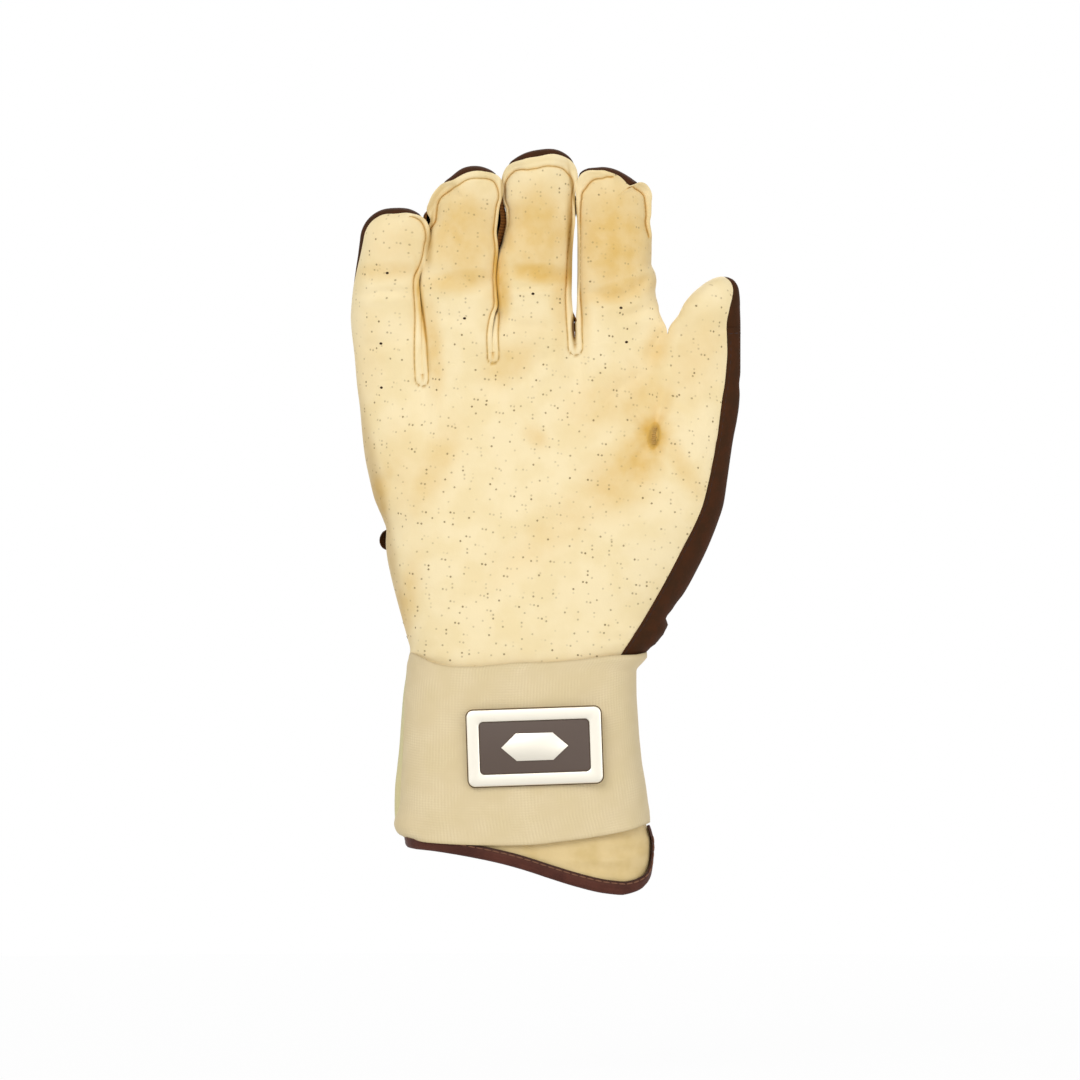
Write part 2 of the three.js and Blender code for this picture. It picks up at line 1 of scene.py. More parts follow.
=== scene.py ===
"""Looks of a right-hand batting glove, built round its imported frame.

Sizes and places are in millimetres, in the frame of the part: the palm faces -Y, the fingers point up
and the thumb is at +X. Meshes are scaled to metres as they are made.
"""

import math

import bmesh
import bpy
from mathutils import Matrix, Vector, noise
from mathutils.bvhtree import BVHTree


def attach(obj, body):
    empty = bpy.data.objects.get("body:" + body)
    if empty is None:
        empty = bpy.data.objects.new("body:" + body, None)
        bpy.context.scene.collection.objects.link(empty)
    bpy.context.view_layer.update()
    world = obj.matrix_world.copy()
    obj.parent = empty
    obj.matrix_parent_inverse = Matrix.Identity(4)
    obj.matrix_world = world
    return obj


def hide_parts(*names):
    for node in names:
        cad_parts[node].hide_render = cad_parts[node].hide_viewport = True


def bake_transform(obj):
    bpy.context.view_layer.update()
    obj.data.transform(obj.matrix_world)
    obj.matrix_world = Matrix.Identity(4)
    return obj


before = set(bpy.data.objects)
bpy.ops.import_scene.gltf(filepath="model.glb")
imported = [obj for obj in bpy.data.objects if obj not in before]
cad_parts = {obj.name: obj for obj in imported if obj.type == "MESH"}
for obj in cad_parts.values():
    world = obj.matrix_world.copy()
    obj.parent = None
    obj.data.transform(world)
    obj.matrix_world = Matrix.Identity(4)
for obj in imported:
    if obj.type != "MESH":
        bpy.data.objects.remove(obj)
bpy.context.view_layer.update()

MM = 0.001
LEATHER = 1.2


def clamp(value, low=0.0, high=1.0):
    return max(low, min(high, value))


def lerp(a, b, share):
    return a + (b - a) * share


def smooth(value, low, high):
    share = clamp((value - low) / (high - low))
    return share * share * (3 - 2 * share)


def bell(value):
    return math.exp(-value * value)


def rounded(value, power):
    return math.copysign(abs(value) ** power, value)


def mix(a, b, share):
    return tuple(lerp(p, q, share) for p, q in zip(a, b))


def curve_through(points, rounding=False):
    """A smooth function through (place, value) points, which overshoots them only with rounding."""
    places = [p for p, _ in points]
    values = [v for _, v in points]
    rises = [(values[k + 1] - values[k]) / (places[k + 1] - places[k]) for k in range(len(points) - 1)]
    slopes = [rises[0]]
    for before, after in zip(rises, rises[1:]):
        if rounding:
            slopes.append((before + after) / 2)
        else:
            slopes.append(0 if before * after <= 0 else 2 * before * after / (before + after))
    slopes.append(rises[-1])

    def at(place):
        if place <= places[0]:
            return values[0]
        if place >= places[-1]:
            return values[-1]
        k = 0
        while places[k + 1] < place:
            k += 1
        width = places[k + 1] - places[k]
        t = (place - places[k]) / width
        return (
            values[k] * (1 + 2 * t) * (1 - t) ** 2
            + slopes[k] * width * t * (1 - t) ** 2
            + values[k + 1] * t * t * (3 - 2 * t)
            + slopes[k + 1] * width * t * t * (t - 1)
        )

    return at


# Outline of the hand and the cuff under the strap, as (height, place across)
ulnar_edge = curve_through([
    (0, -38.4), (22, -40.5), (30, -40.9), (44.9, -40.4), (55, -40), (66, -39.4), (76, -38.5), (79, -39.5),
    (81.6, -39.6), (84, -40.2), (91.2, -42.2), (105.4, -45.9), (112, -47.2), (116, -47.6), (120.5, -47.4),
    (124, -48.5), (127.7, -50.1), (131, -51.4), (137.1, -52.9), (144.9, -54.5), (152.7, -55.4),
    (160.7, -56.1), (168.6, -57.1), (176.6, -57.8), (186.5, -58.8),
])
thumb_edge = curve_through([
    (0, 40), (8, 40), (14, 40.3), (18, 40.4), (21, 39.6), (24, 38.6), (27, 37.6), (30, 37.1), (34.3, 36.5),
    (44.9, 34.8), (55, 33.8), (66, 33.1), (74, 33.1), (77, 35.5), (79.4, 37.6), (81.3, 39.3), (83.1, 41.9),
    (84.9, 42.7), (86.5, 44.5), (88.3, 45.2), (91, 45), (92.9, 45.9), (95.3, 47.6), (99.9, 51),
    (106.6, 54.7), (114.6, 58.6), (123.8, 62.2), (129, 63.8), (137, 65), (144.9, 66.1), (150.2, 66.9),
    (156.3, 68.1), (162, 68.9), (165.4, 69.1), (168.3, 68.9), (172.6, 69.3), (186.5, 69.3),
])
palm_depth = curve_through([
    (0, 22), (44.9, 21.3), (78, 20), (91.4, 20.5), (105.4, 20.6), (121, 20.4), (137.1, 18.9), (152.7, 16.5),
    (169, 13.5), (186.5, 12.5),
])
back_depth = curve_through([
    (0, 21), (44.9, 20.3), (78, 19), (91.4, 18.5), (105.4, 18.1), (121, 17.5), (137.1, 16.4), (152.7, 15),
    (169, 13), (186.5, 11.5),
])
# Where the cream palm meets the brown back on the thumb side
thumb_seam = curve_through([
    (66, 21), (79.3, 29.7), (88, 35.4), (93.8, 39), (104.5, 44.9), (114.6, 50.2), (123.8, 54.8),
    (129, 56.8), (137, 58.8), (146, 60.6), (151, 61.5), (157.2, 62.3), (163.4, 63.1), (168.7, 64),
    (172.8, 64.4), (179, 64.8), (188, 64.5),
])
ULNAR_WRAP = math.radians(10)
TIP_HEIGHT = 245.9
# Valleys between the fingers: place across, top, share of the depth lost, half width and height
VALLEYS = (
    (-35.3, 169, 0.16, 4, 26),
    (-12.2, 176.2, 0.16, 4, 26),
    (14.9, 178.5, 0.16, 4, 26),
    (45.2, 184.1, 0.28, 9, 52),
)
# How square the section is, as the power of its curve
CUFF_SQUARENESS = 3.2
HAND_SQUARENESS = 2.6
CURL_START = 165
CURL = 11
THUMB_LEAN = 7
THUMB_BALL = 3
HOLLOW = 4


def squareness(z):
    return lerp(CUFF_SQUARENESS, HAND_SQUARENESS, smooth(z, 72, 100))


def middle_y(x, z):
    """The middle surface leans forward at the thumb and along the fingers."""
    curl = clamp((z - CURL_START) / (TIP_HEIGHT - CURL_START)) ** 1.6
    return -CURL * curl - THUMB_LEAN * smooth(x, 34, 60) * smooth(z, 95, 155)


def palm_relief(x, z):
    hollow = math.exp(-((x + 6) / 28) ** 2 - ((z - 138) / 32) ** 2)
    thumb_ball = math.exp(-((x - 34) / 18) ** 2 - ((z - 118) / 30) ** 2)
    return THUMB_BALL * thumb_ball - HOLLOW * hollow


def valley_factor(x, z):
    factor = 1
    for place, top, share, half_width, height in VALLEYS:
        factor *= 1 - share * smooth(z, top - height, top) * bell((x - place) / half_width)
    return factor


def hand_point(angle, z, lift=0.0):
    """A point of the hand or cuff at an angle round its section, from the thumb over the palm to the back."""
    left, right = ulnar_edge(z), thumb_edge(z)
    power = 2 / squareness(z)
    x = (left + right) / 2 + ((right - left) / 2 + lift) * rounded(math.cos(angle), power)
    rise = rounded(math.sin(angle), power)
    depth = palm_depth(z) + palm_relief(x, z) if rise > 0 else back_depth(z)
    return (x, middle_y(x, z) - (depth + lift) * rise * valley_factor(x, z), z)


def angle_at(x, z):
    """The angle on the palm side at which the hand has this x."""
    left, right = ulnar_edge(z), thumb_edge(z)
    across = clamp((x - (left + right) / 2) / ((right - left) / 2), -1, 1)
    return math.acos(rounded(across, squareness(z) / 2))


# The base creases run in one line from slit to slit, and the fingers start there
base_height = curve_through([
    (-60, 167.4), (-35.3, 171.8), (-12.2, 179), (14.9, 181.6), (45.2, 184.2), (70, 186.4),
])

# Along a finger's outline the places run from the left base over the tip to the right base
SIDE_SHARE = 0.36
OUTLINE_PLACES = (0, 0.18, 0.36, 0.4067, 0.4533, 0.5, 0.5467, 0.5933, 0.64, 0.82, 1)
TIP_PLACES = (0, 30, 60, 90, 120, 150, 180)


def along_outline(*values):
    """Values at the usual places along a finger's outline."""
    return list(zip(OUTLINE_PLACES, values))


def over_tip(*values):
    """Values at the usual angles over a fingertip."""
    return list(zip(TIP_PLACES, values))


# Each finger's tip centre and radii over the tip, its edges as (height, place across), the widths of brown
# and of stitched rim along its outline, how low the rim lies at its left and right, and what it meets there.
# Bulges and bites are (side, height, reach, amount). Within the morph's height above its base a finger goes
# over from the hand's shape to its own, and the depths are those of its front and back at the tip.
FINGER_SHAPES = {
    "little": {
        "centre": (-44.3, 216),
        "tip": over_tip(11.7, 11.9, 11.3, 10.5, 10.95, 11.4, 11.7),
        "left": [
            (167, -57), (176.6, -57.8), (184.5, -58.7), (190.4, -59.1), (196.4, -58.7), (201.3, -58.1),
            (206.3, -57.4), (210.2, -56.8), (216, -56),
        ],
        "right": [
            (171.8, -35.3), (178, -34.9), (183, -35.2), (193, -35.8), (198, -36.2), (202, -36.4),
            (204, -36.1), (206.5, -34.9), (209, -34), (211, -33.5), (214, -33.1), (216, -32.6),
        ],
        "brown": along_outline(-0.8, -0.5, 1.3, 1.6, 1.9, 2.2, 1.5, 0, 0, 0, 0),
        "rim": along_outline(0, 0, 0, 0, 0, 0, 0.9, 1.6, 1.7, 2.1, 2.5),
        "low": (0.45, 0.68),
        "sides": {-1: "seam", 1: "slit"},
    },
    "ring": {
        "centre": (-21.2, 228.5),
        "tip": over_tip(11.8, 13.7, 12.9, 11.3, 9.5, 10.0, 11.9),
        "left": [
            (171.8, -35.3), (180, -35), (185.8, -35.7), (191.5, -36.4), (196, -37), (200, -37.5),
            (206, -37.2), (212, -35.6), (217, -34.4), (221, -34.6), (223.8, -34.6), (226, -34.1),
            (228.5, -33.1),
        ],
        "right": [
            (179, -12.2), (181.2, -12), (185.6, -11.4), (191.5, -10.7), (193.7, -10), (195, -10.1),
            (197.4, -10.6), (200.6, -10.9), (203, -11.1), (207, -10.9), (212.6, -10.4), (218.5, -10.9),
            (221.4, -10.6), (226.9, -9.9), (228.5, -9.4),
        ],
        "brown": along_outline(0, 0, 0, 0.1, 1.6, 2.4, 1.8, 0, 0, 0, 0),
        "rim": [
            (0, 1.9), (0.052, 1.4), (0.089, 1.4), (0.118, 1.2), (0.155, 1), (0.27, 1), (0.3, 1.5),
            (0.319, 1.8), (0.342, 3.5), (0.36, 3.3), (0.4067, 3.8), (0.4533, 2.4), (0.5, 2.4),
            (0.5467, 2.7), (0.5933, 2.4), (0.64, 1.2), (0.82, 1.1), (1, 1.8),
        ],
        "low": (0.52, 0.64),
        "bulges": ((1, 221.5, 8.5, 3.7), (-1, 222.4, 3, 0.9)),
        "bites": ((-1, 222.2, 2.4, 1.9),),
        "sides": {-1: "slit", 1: "slit"},
    },
    "middle": {
        "centre": (2.95, 233),
        "tip": over_tip(12.35, 14.1, 14.0, 12.5, 12.3, 12.8, 12.35),
        "left": [
            (179, -12.2), (185.6, -11.5), (191.5, -10.9), (196, -11.6), (203, -12.2), (207, -11.9),
            (211, -11.1), (214.5, -9.5), (218.5, -8.5), (221.4, -7.9), (225.4, -8), (229.4, -9.2),
            (233, -9.4),
        ],
        "right": [
            (181.6, 14.9), (183, 14.5), (185, 14.1), (190, 13.5), (196, 13.5), (202, 13.8), (211.3, 14),
            (218, 14.5), (222.6, 14.9), (229.3, 14.8), (231, 14.9), (233, 15.3),
        ],
        "brown": along_outline(0, 0, 0, 0.2, 1.9, 2.5, 1.8, 0.3, 0, 0, 0),
        "rim": [
            (0, 2), (0.044, 1.9), (0.083, 1.1), (0.1, 0.2), (0.13, 0), (0.22, 0), (0.27, 0.9), (0.36, 1.2),
            (0.4067, 2.9), (0.4533, 3.9), (0.5, 3.8), (0.5467, 4.4), (0.5933, 3.6), (0.64, 1.2),
            (0.82, 1.8), (1, 2.4),
        ],
        "low": (0.4, 0.5),
        "bulges": ((1, 187, 5.5, 2.1), (1, 227, 5.5, 1.5), (-1, 220.5, 9, 1.0)),
        "sides": {-1: "slit", 1: "slit"},
    },
    "index": {
        "centre": (27.5, 229),
        "tip": [
            (0, 12.6), (8, 12.7), (18, 12.35), (26, 11.7), (31, 10.9), (35, 10), (39, 9.6), (52, 9.25),
            (67, 9.3), (85, 10), (99, 10.8), (109, 11.5), (119, 12.2), (131, 13.6), (141, 14.2),
            (160, 13.2), (180, 12.3),
        ],
        "left": [
            (181.6, 14.9), (183, 14.7), (186, 15.1), (190.4, 15.4), (200, 15.5), (206.5, 15.6), (214, 15.6),
            (222, 15.5), (226, 15.2), (229, 15),
        ],
        "right": [
            (184.2, 45.2), (186, 42.4), (189.4, 39.4), (192, 40), (194.6, 41.2), (199.1, 41.3),
            (202.6, 41.7), (205.1, 41.3), (208.2, 40), (212.2, 40.1), (217, 40.1), (221.8, 39.5),
            (224.2, 39.9), (229, 40),
        ],
        "brown": [
            (0, 0), (0.36, 0), (0.4, 0.2), (0.42, 0.7), (0.433, 1), (0.446, 1.3), (0.467, 1.5),
            (0.493, 1.9), (0.516, 1.8), (0.542, 2.1), (0.565, 2.6), (0.58, 2.6), (0.587, 0.2), (0.593, 0),
            (0.64, 0), (0.82, 0), (1, -0.8),
        ],
        "rim": [
            (0, 2.4), (0.18, 0.9), (0.3, 1.1), (0.36, 1.9), (0.375, 2.2), (0.386, 2.8), (0.4, 3.7),
            (0.416, 4.2), (0.45, 3.3), (0.473, 2.2), (0.5, 1), (0.52, 0), (0.575, 0), (0.587, 2.6),
            (0.6, 3.9), (0.625, 3), (0.64, 2.4), (0.69, 1.7), (0.72, 1.5), (0.75, 0.7), (0.77, 0), (1, 0),
        ],
        "low": (0.5, 0.5),
        "bulges": ((-1, 227, 5.5, 1.4), (-1, 186.5, 4.5, 1.2)),
        "sides": {-1: "slit", 1: "web"},
        "morph": 16,
    },
    "thumb": {
        "centre": (59.7, 194),
        "tip": [
            (0, 9.4), (12, 9.6), (24, 10.1), (39, 11), (50, 11.3), (60, 11), (72, 10.3), (95, 8.55),
            (119, 7.5), (146, 7.6), (165, 8.4), (180, 9.5),
        ],
        "left": [(184.2, 45.4), (185.6, 46), (187.1, 46.7), (189.5, 48), (194, 50.2)],
        "right": [(186.4, 69.3), (194, 69.1)],
        "brown": [
            (0, -0.8), (0.36, -0.6), (0.45, 0), (0.53, 0), (0.545, 0.6), (0.566, 1.6), (0.59, 2.4),
            (0.615, 3), (0.64, 3.4), (0.777, 4), (0.89, 4.5), (1, 4.8),
        ],
        "rim": [(0, 0), (1, 0)],
        "low": (0.45, 0.45),
        "sides": {-1: "web", 1: "seam"},
        "morph": 7.4,
        "depths": (8.9, 8.0),
    },
}

# Power of the curve of a finger's section
SECTION = 2.5
CALM_REACH = 0.035
USUAL_VALUES = {"bulges": (), "bites": (), "morph": 22, "depths": (10.5, 9.5)}


def calmed(curve):
    """The same curve with its steep steps spread over a wider reach."""
    steps = [CALM_REACH * k / 5 for k in range(-5, 6)]
    places = [k / 80 for k in range(81)]
    return curve_through([(at, sum(curve(at + step) for step in steps) / len(steps)) for at in places])


def prepared(name, shape):
    """A finger's values with the usual ones filled in, its curves and the place where it joins the hand."""
    finger = {**USUAL_VALUES, **shape, "name": name}
    for kind in ("left", "right", "brown", "rim"):
        finger[f"{kind}_at"] = curve_through(shape[kind])
    finger["tip_at"] = curve_through(shape["tip"], rounding=True)
    finger["calm_brown_at"] = calmed(finger["brown_at"])
    left, right = shape["left"][0][1], shape["right"][0][1]
    middle = (left + right) / 2
    base = base_height(middle)
    finger["base"] = (middle, base)
    finger["edges"] = {-1: left, 1: right}
    angle = angle_at(middle, base)
    finger["front_root"] = middle_y(middle, base) - hand_point(angle, base)[1]
    finger["back_root"] = hand_point(-angle, base)[1] - middle_y(middle, base)
    return finger


FINGERS = {name: prepared(name, shape) for name, shape in FINGER_SHAPES.items()}

# Columns from a finger's edge to its middle: over the rim, over the stitch groove, over the pad
RIM_COLUMNS = 8
GROOVE_COLUMNS = 4
HALF_COLUMNS = 26
GROOVE_REACH = 0.9
# Strength and reach of the painted shade in the stitch grooves, a darker line on the leather
GROOVE_SHADE = 0.46
GROOVE_SHADE_REACH = 0.22
# How much a rim rises over the brown leather of a fingertip, and the brown width at which it has risen
TIP_RISE = 0.33
TIP_BROWN = 1.8


def side_of(place):
    """-1 on the left half of a finger's outline and 1 on its right half."""
    return -1 if place < 0.5 else 1


def finger_depth(finger, z, front):
    """Depth of a finger's front or back before or behind its middle surface."""
    base, top = finger["base"][1], finger["centre"][1]
    root = finger["front_root"] if front else finger["back_root"]
    return lerp(root, finger["depths"][0 if front else 1], smooth(z, base, top))


def stand(finger, place, z):
    """Centre, outward direction and outline radius at a place along the outline."""
    if SIDE_SHARE < place < 1 - SIDE_SHARE:
        turn = 180 * (1 - (place - SIDE_SHARE) / (1 - 2 * SIDE_SHARE))
        spread = math.radians(turn)
        return finger["centre"], (math.cos(spread), math.sin(spread)), finger["tip_at"](turn)
    left, right = finger["left_at"](z), finger["right_at"](z)
    return ((left + right) / 2, z), (side_of(place), 0), (right - left) / 2


def section_point(centre, outward, distance, depth):
    """A point of a finger, this far outwards from its centre and before its middle surface."""
    x = centre[0] + distance * outward[0]
    height = centre[1] + distance * outward[1]
    return (x, middle_y(centre[0], height) - depth, height)


def height_at(finger, place, start):
    """Height of a place along the outline, where its side starts at the given height."""
    return lerp(start, finger["centre"][1], clamp(min(place, 1 - place) / SIDE_SHARE))


def rim_distance(share, rim, reach):
    """Distance from the outer edge of a column, which follows the rim and its groove."""
    column = share * HALF_COLUMNS
    if column <= RIM_COLUMNS:
        return rim * column / RIM_COLUMNS
    if column <= RIM_COLUMNS + GROOVE_COLUMNS:
        return rim + GROOVE_REACH * (column - RIM_COLUMNS) / GROOVE_COLUMNS
    rest = (column - RIM_COLUMNS - GROOVE_COLUMNS) / (HALF_COLUMNS - RIM_COLUMNS - GROOVE_COLUMNS)
    return lerp(rim + GROOVE_REACH, reach, rest)


def edge_angle(brown, radius):
    """Section angle of the front's edge, where this much brown shows outside it."""
    if brown <= 0:
        return math.radians(12 * brown)
    return math.acos(clamp(1 - brown / radius) ** (SECTION / 2))


def at_height(finger, kind, place, z):
    """What the bulges or bites of one side of a finger come to at a height."""
    side = side_of(place)
    return sum(amount * bell((z - top) / reach) for at, top, reach, amount in finger[kind] if at == side)


def brown_margin(finger, place, z):
    """Width of the brown back that shows outside the front leather."""
    return finger["brown_at"](place) + at_height(finger, "bites", place, z)


def rim_depth(finger, place, front):
    """How far a rim stands before the middle surface: one of two neighbours lies over the other."""
    share = lerp(*finger["low"], smooth(place, SIDE_SHARE, 1 - SIDE_SHARE))
    return front * (share + TIP_RISE * smooth(finger["calm_brown_at"](place), 0, TIP_BROWN))


def rim_presence(rim):
    """How far an edge counts as a stitched rim, from 0 to 1, by the rim's width."""
    return smooth(rim, 0.3, 1.3)


def unpierced(beyond):
    """The leather has no perforations on a rim and just beyond its stitches."""
    return 1 - smooth(beyond, 0.2, 1.4)


def seam_relief(beyond, rim):
    """Height of the leather near a seam: a groove at the stitches and a lifted rim outside them."""
    groove = -0.3 * bell(beyond / 0.4)
    if beyond >= 0 or rim <= 0:
        return groove
    inside = clamp(-beyond / rim)
    hem = -0.35 * bell((inside - 0.52) / 0.12) * smooth(rim, 2.6, 3.6)
    return groove + hem + 0.4 * math.sin(math.pi * inside) ** 0.7


def ripple(x, z, scale, seed):
    return noise.noise(Vector((x / scale, z / scale, seed)))


# Folds of the palm side: both ends, width across and depth
FOLDS = (
    (-56.5, 197.5, -41, 198.5, 1.4, -0.7), (-56, 204.5, -40, 206, 3.2, -0.6),
    (-33, 204.5, -13, 201, 2.6, -0.8), (-9.5, 206.5, 13, 203.5, 3, -0.9), (-9, 199.8, 12, 200.8, 1.1, -0.5),
    (17, 199, 30, 196.5, 2, -0.8), (30, 196.5, 39.5, 203, 1.8, -0.9), (30, 190, 41.5, 194.5, 1.6, -0.6),
    (-1.7, 168.5, 7.5, 179.5, 1.6, -0.6), (24.5, 163.5, 36.5, 171, 1.8, -0.8),
    (38, 176, 44, 186, 2.2, -0.9), (33, 159.5, 40, 153.5, 1.6, -0.7), (41, 156, 46, 168, 1.8, -0.8),
    (41.5, 148.5, 52, 134, 2.2, -0.8), (39.5, 147, 33, 133, 2.6, -0.9), (28, 139, -9, 109, 5, -1.1),
    (-40, 121, -24, 153, 4, -0.6), (-53, 138, -42, 136, 1.8, -0.5), (-48, 118, -40, 124, 2.2, -0.6),
    (56.5, 172, 61.5, 164, 2.4, -0.5), (50, 163, 60, 149, 2, -0.6), (-30, 190.5, -18, 188.5, 1.8, -0.4),
    (-6, 188, 9, 186.5, 1.8, -0.4), (-55, 181, -42, 183, 1.8, -0.4),
)

# Amber patches of the leather: place, half length, half width, slant in degrees and strength
# Those along the slits on both sides of the ring finger and at the palm's ulnar edge near the wrist are
# painted shade
AMBER_PATCHES = (
    (40, 151, 8, 6, 75, 1), (35, 143, 10, 8, 60, 0.75), (28, 136, 12, 10, 40, 0.5),
    (12, 124, 30, 7, 40, 0.24), (37, 163, 13, 11, 85, 0.42), (26, 163, 16, 9, 30, 0.32),
    (42, 180, 9, 5, 70, 0.5), (3.5, 205, 12, 4, -6, 0.85), (2.5, 219, 11, 15, 0, 0.7),
    (-7, 217, 4.5, 14, 10, 0.5), (-22, 203, 12, 4.5, 10, 0.6), (-22, 218, 11, 15, 0, 0.64),
    (-14, 216, 4, 16, 0, 0.4), (30, 200, 12, 5, 15, 0.7), (28, 216, 13, 20, 0, 0.74),
    (-46, 206, 11, 3.5, 5, 0.4), (-45, 214, 10, 9, 0, 0.22), (-9, 201, 3, 12, 0, 0.75),
    (-6, 176, 10, 6, 40, 0.4), (-31.5, 180, 3, 16, 5, 0.5), (-32, 140, 18, 6, 62, 0.34),
    (-43, 138, 9, 16, 0, 0.22), (0, 186, 10, 6, 0, 0.15), (-50, 130, 16, 4, 72, 0.42),
    (-41, 95, 16, 4, 78, 0.4), (-53, 176, 5, 18, 0, 0.16), (2, 151, 5, 3, -40, 0.4),
    (49, 143, 16, 3.5, -58, 0.36), (55, 177, 9, 15, -20, 0.28), (9.5, 200, 3, 22, 0, 0.35),
    (18, 205, 2.5, 24, 0, 0.4), (-10.8, 202, 13, 1.3, 92, 1.1), (-36, 195, 14, 1.3, 97, 0.8),
)

# Leather in the shade of a neighbour or turned away, in the same terms
SHADES = (
    (13.3, 212, 17, 1.1, 91, 1.3), (14.2, 231, 8, 0.6, 100, 1.2), (-32.9, 216, 9, 0.6, 84, 1.1),
    (-9.2, 232, 5, 0.5, 90, 0.9), (-10.6, 198.5, 7, 0.5, 100, 0.35), (-11, 208, 7, 0.5, 88, 0.3),
    (-34.7, 188, 15, 0.5, 97.5, 0.4), (14.4, 186.5, 5, 0.8, 93, 2.2), (-36.1, 203.5, 5.5, 0.6, 82, 0.6),
    (-33.3, 213, 6, 1.3, 88, 0.8), (-31.8, 228.5, 7, 1.2, 59, 0.45), (-49.5, 128, 38, 2.6, 101.4, 0.62),
)


def patch_strength_at(stains, x, z):
    """How strong the strongest of some patches is at a point, for the amber patches and the painted shade
    alike.
    """
    most = 0
    for place, top, length, width, slant, strength in stains:
        if abs(x - place) < 2 * max(length, width) and abs(z - top) < 2 * max(length, width):
            turn = math.radians(slant)
            along = ((x - place) * math.cos(turn) + (z - top) * math.sin(turn)) / length
            across = ((z - top) * math.cos(turn) - (x - place) * math.sin(turn)) / width
            most = max(most, strength * math.exp(-((along**2 + across**2) ** 1.4)))
    return most


def fold_height(x, z):
    """Depth of the palm side's folds at a point, each with a low swell beside it."""
    height = 0
    for x0, z0, x1, z1, width, depth in FOLDS:
        along_x, along_z = x1 - x0, z1 - z0
        length = math.hypot(along_x, along_z)
        share = ((x - x0) * along_x + (z - z0) * along_z) / length**2
        if -0.3 < share < 1.3:
            across = ((x - x0) * along_z - (z - z0) * along_x) / length
            if abs(across) < 4 * width:
                fade = smooth(share, -0.25, 0.2) * (1 - smooth(share, 0.8, 1.25))
                bent = across + 1.2 * ripple(x, z, 9, width)
                height += fade * depth * (bell(bent / width) - 0.4 * bell((bent - 2 * width) / width))
    return height


# Place across and height of the bar tack, and its lean
BAR_TACK = (40.8, 151.3)
BAR_TACK_SLANT = 0.1


def palm_height(x, z):
    """Unevenness of the palm side's leather, before its seams."""
    across, up = x - BAR_TACK[0], z - BAR_TACK[1]
    pinch = -1.3 * bell(across / 2.4) * bell(up / 4.5)
    puckers = 0.4 * math.cos(7 * math.atan2(up, across)) * bell((math.hypot(across, up) - 6) / 5)
    return fold_height(x, z) + pinch + puckers + 0.45 * ripple(x, z, 16, 3) + 0.16 * ripple(x, z, 5, 8)


# The fingers on both sides of each slit, and the height of the slit's foot
SLITS = (("little", "ring", 167.7), ("ring", "middle", 175.2), ("middle", "index", 177.9))


def welts():
    """The stitched welt round the foot of each slit: place, top, half widths to its left and right, foot."""
    made = []
    for before, after, foot in SLITS:
        place = FINGERS[before]["edges"][1]
        left, right = FINGERS[before]["rim_at"](1), FINGERS[after]["rim_at"](0)
        made.append((place, base_height(place), left, right, foot))
    return made


WELTS = welts()


def welt_relief(x, z):
    """Height of the palm's leather at the welts, the painted shade of their stitch grooves and folds, and
    plain leather.
    """
    relief, line, whole = 0.0, 0.0, 0.0
    for place, top, left, right, foot in WELTS:
        half = left if x < place else right
        centre = foot + half
        reach = abs(x - place) if z > centre else math.hypot(x - place, z - centre)
        if z < top + 3 and reach < half + 3:
            beyond = reach - half
            fold = bell((x - place) / 0.4) * smooth(z, foot, foot + 4)
            relief += seam_relief(beyond, half) - 0.4 * fold
            line = max(line, GROOVE_SHADE * bell(beyond / GROOVE_SHADE_REACH), 0.3 * fold)
            whole = max(whole, unpierced(beyond))
    return relief, line, whole


def front_section(finger, place, share, z):
    """Distance from the middle and depth of a finger's front, its seam's relief and painted groove shade,
    plain leather.
    """
    radius = stand(finger, place, z)[2]
    brown = brown_margin(finger, place, z)
    rim = finger["rim_at"](place)
    front = finger_depth(finger, z, True)
    angle = lerp(edge_angle(brown, radius), math.pi / 2, share)
    plain = (radius * rounded(math.cos(angle), 2 / SECTION), front * rounded(math.sin(angle), 2 / SECTION))
    presence = rim_presence(rim)
    if presence == 0:
        return (*plain, 0.0, 0.0, 0.0)
    edge = radius - max(brown, 0)
    distance = rim_distance(share, rim, edge)
    low = rim_depth(finger, place, front)
    rest = clamp((distance - rim) / (edge - rim))
    rise = (1 - (1 - rest) ** 1.7) ** (1 / 1.7)
    rimmed = (edge - distance, lerp(low, front, rise))
    both = mix(plain, rimmed, presence)
    beyond = distance - rim
    sewn = smooth(presence, 0.6, 1)
    line = GROOVE_SHADE * sewn * bell(beyond / GROOVE_SHADE_REACH)
    return (*both, sewn * seam_relief(beyond, rim), line, presence * unpierced(beyond))


def base_x(finger, side, share):
    """Place across of a column at the base crease, spaced as round the finger's section."""
    middle = finger["base"][0]
    half = abs(finger["edges"][side] - middle)
    return middle + side * half * (math.cos(math.pi / 2 * share) ** (2 / SECTION) if share < 1 else 0)


def seam_spot(finger, side, share, front):
    """Hand angle and height of a column at the base, beside a side seam of the hand."""
    turned = 1 if front else -1
    height = base_height(finger["edges"][side])
    start = math.pi + turned * ULNAR_WRAP if side < 0 else turned * angle_at(thumb_seam(height), height)
    angle = lerp(start, angle_at(*finger["base"]), share)
    return angle, base_height(hand_point(turned * angle, height)[0])


def front_spot(finger, side, share):
    """Hand angle and height of a column of a finger's front where it starts at the base crease."""
    kind = finger["sides"][side]
    if kind == "seam":
        return seam_spot(finger, side, share, True)
    if kind == "web":
        x = base_x(finger, side, share)
    else:
        middle = finger["base"][0]
        half = abs(finger["edges"][side] - middle)
        rim = finger["rim_at"](0 if side < 0 else 1)
        x = middle + side * (half - rim_distance(share, rim, half))
    height = base_height(x)
    return angle_at(x, height), height


def back_spot(finger, side, share):
    """The same for a column of a finger's back, with the angle counted on the back."""
    if finger["sides"][side] == "seam":
        return seam_spot(finger, side, share, False)
    x = base_x(finger, side, share)
    return angle_at(x, base_height(x)), base_height(x)


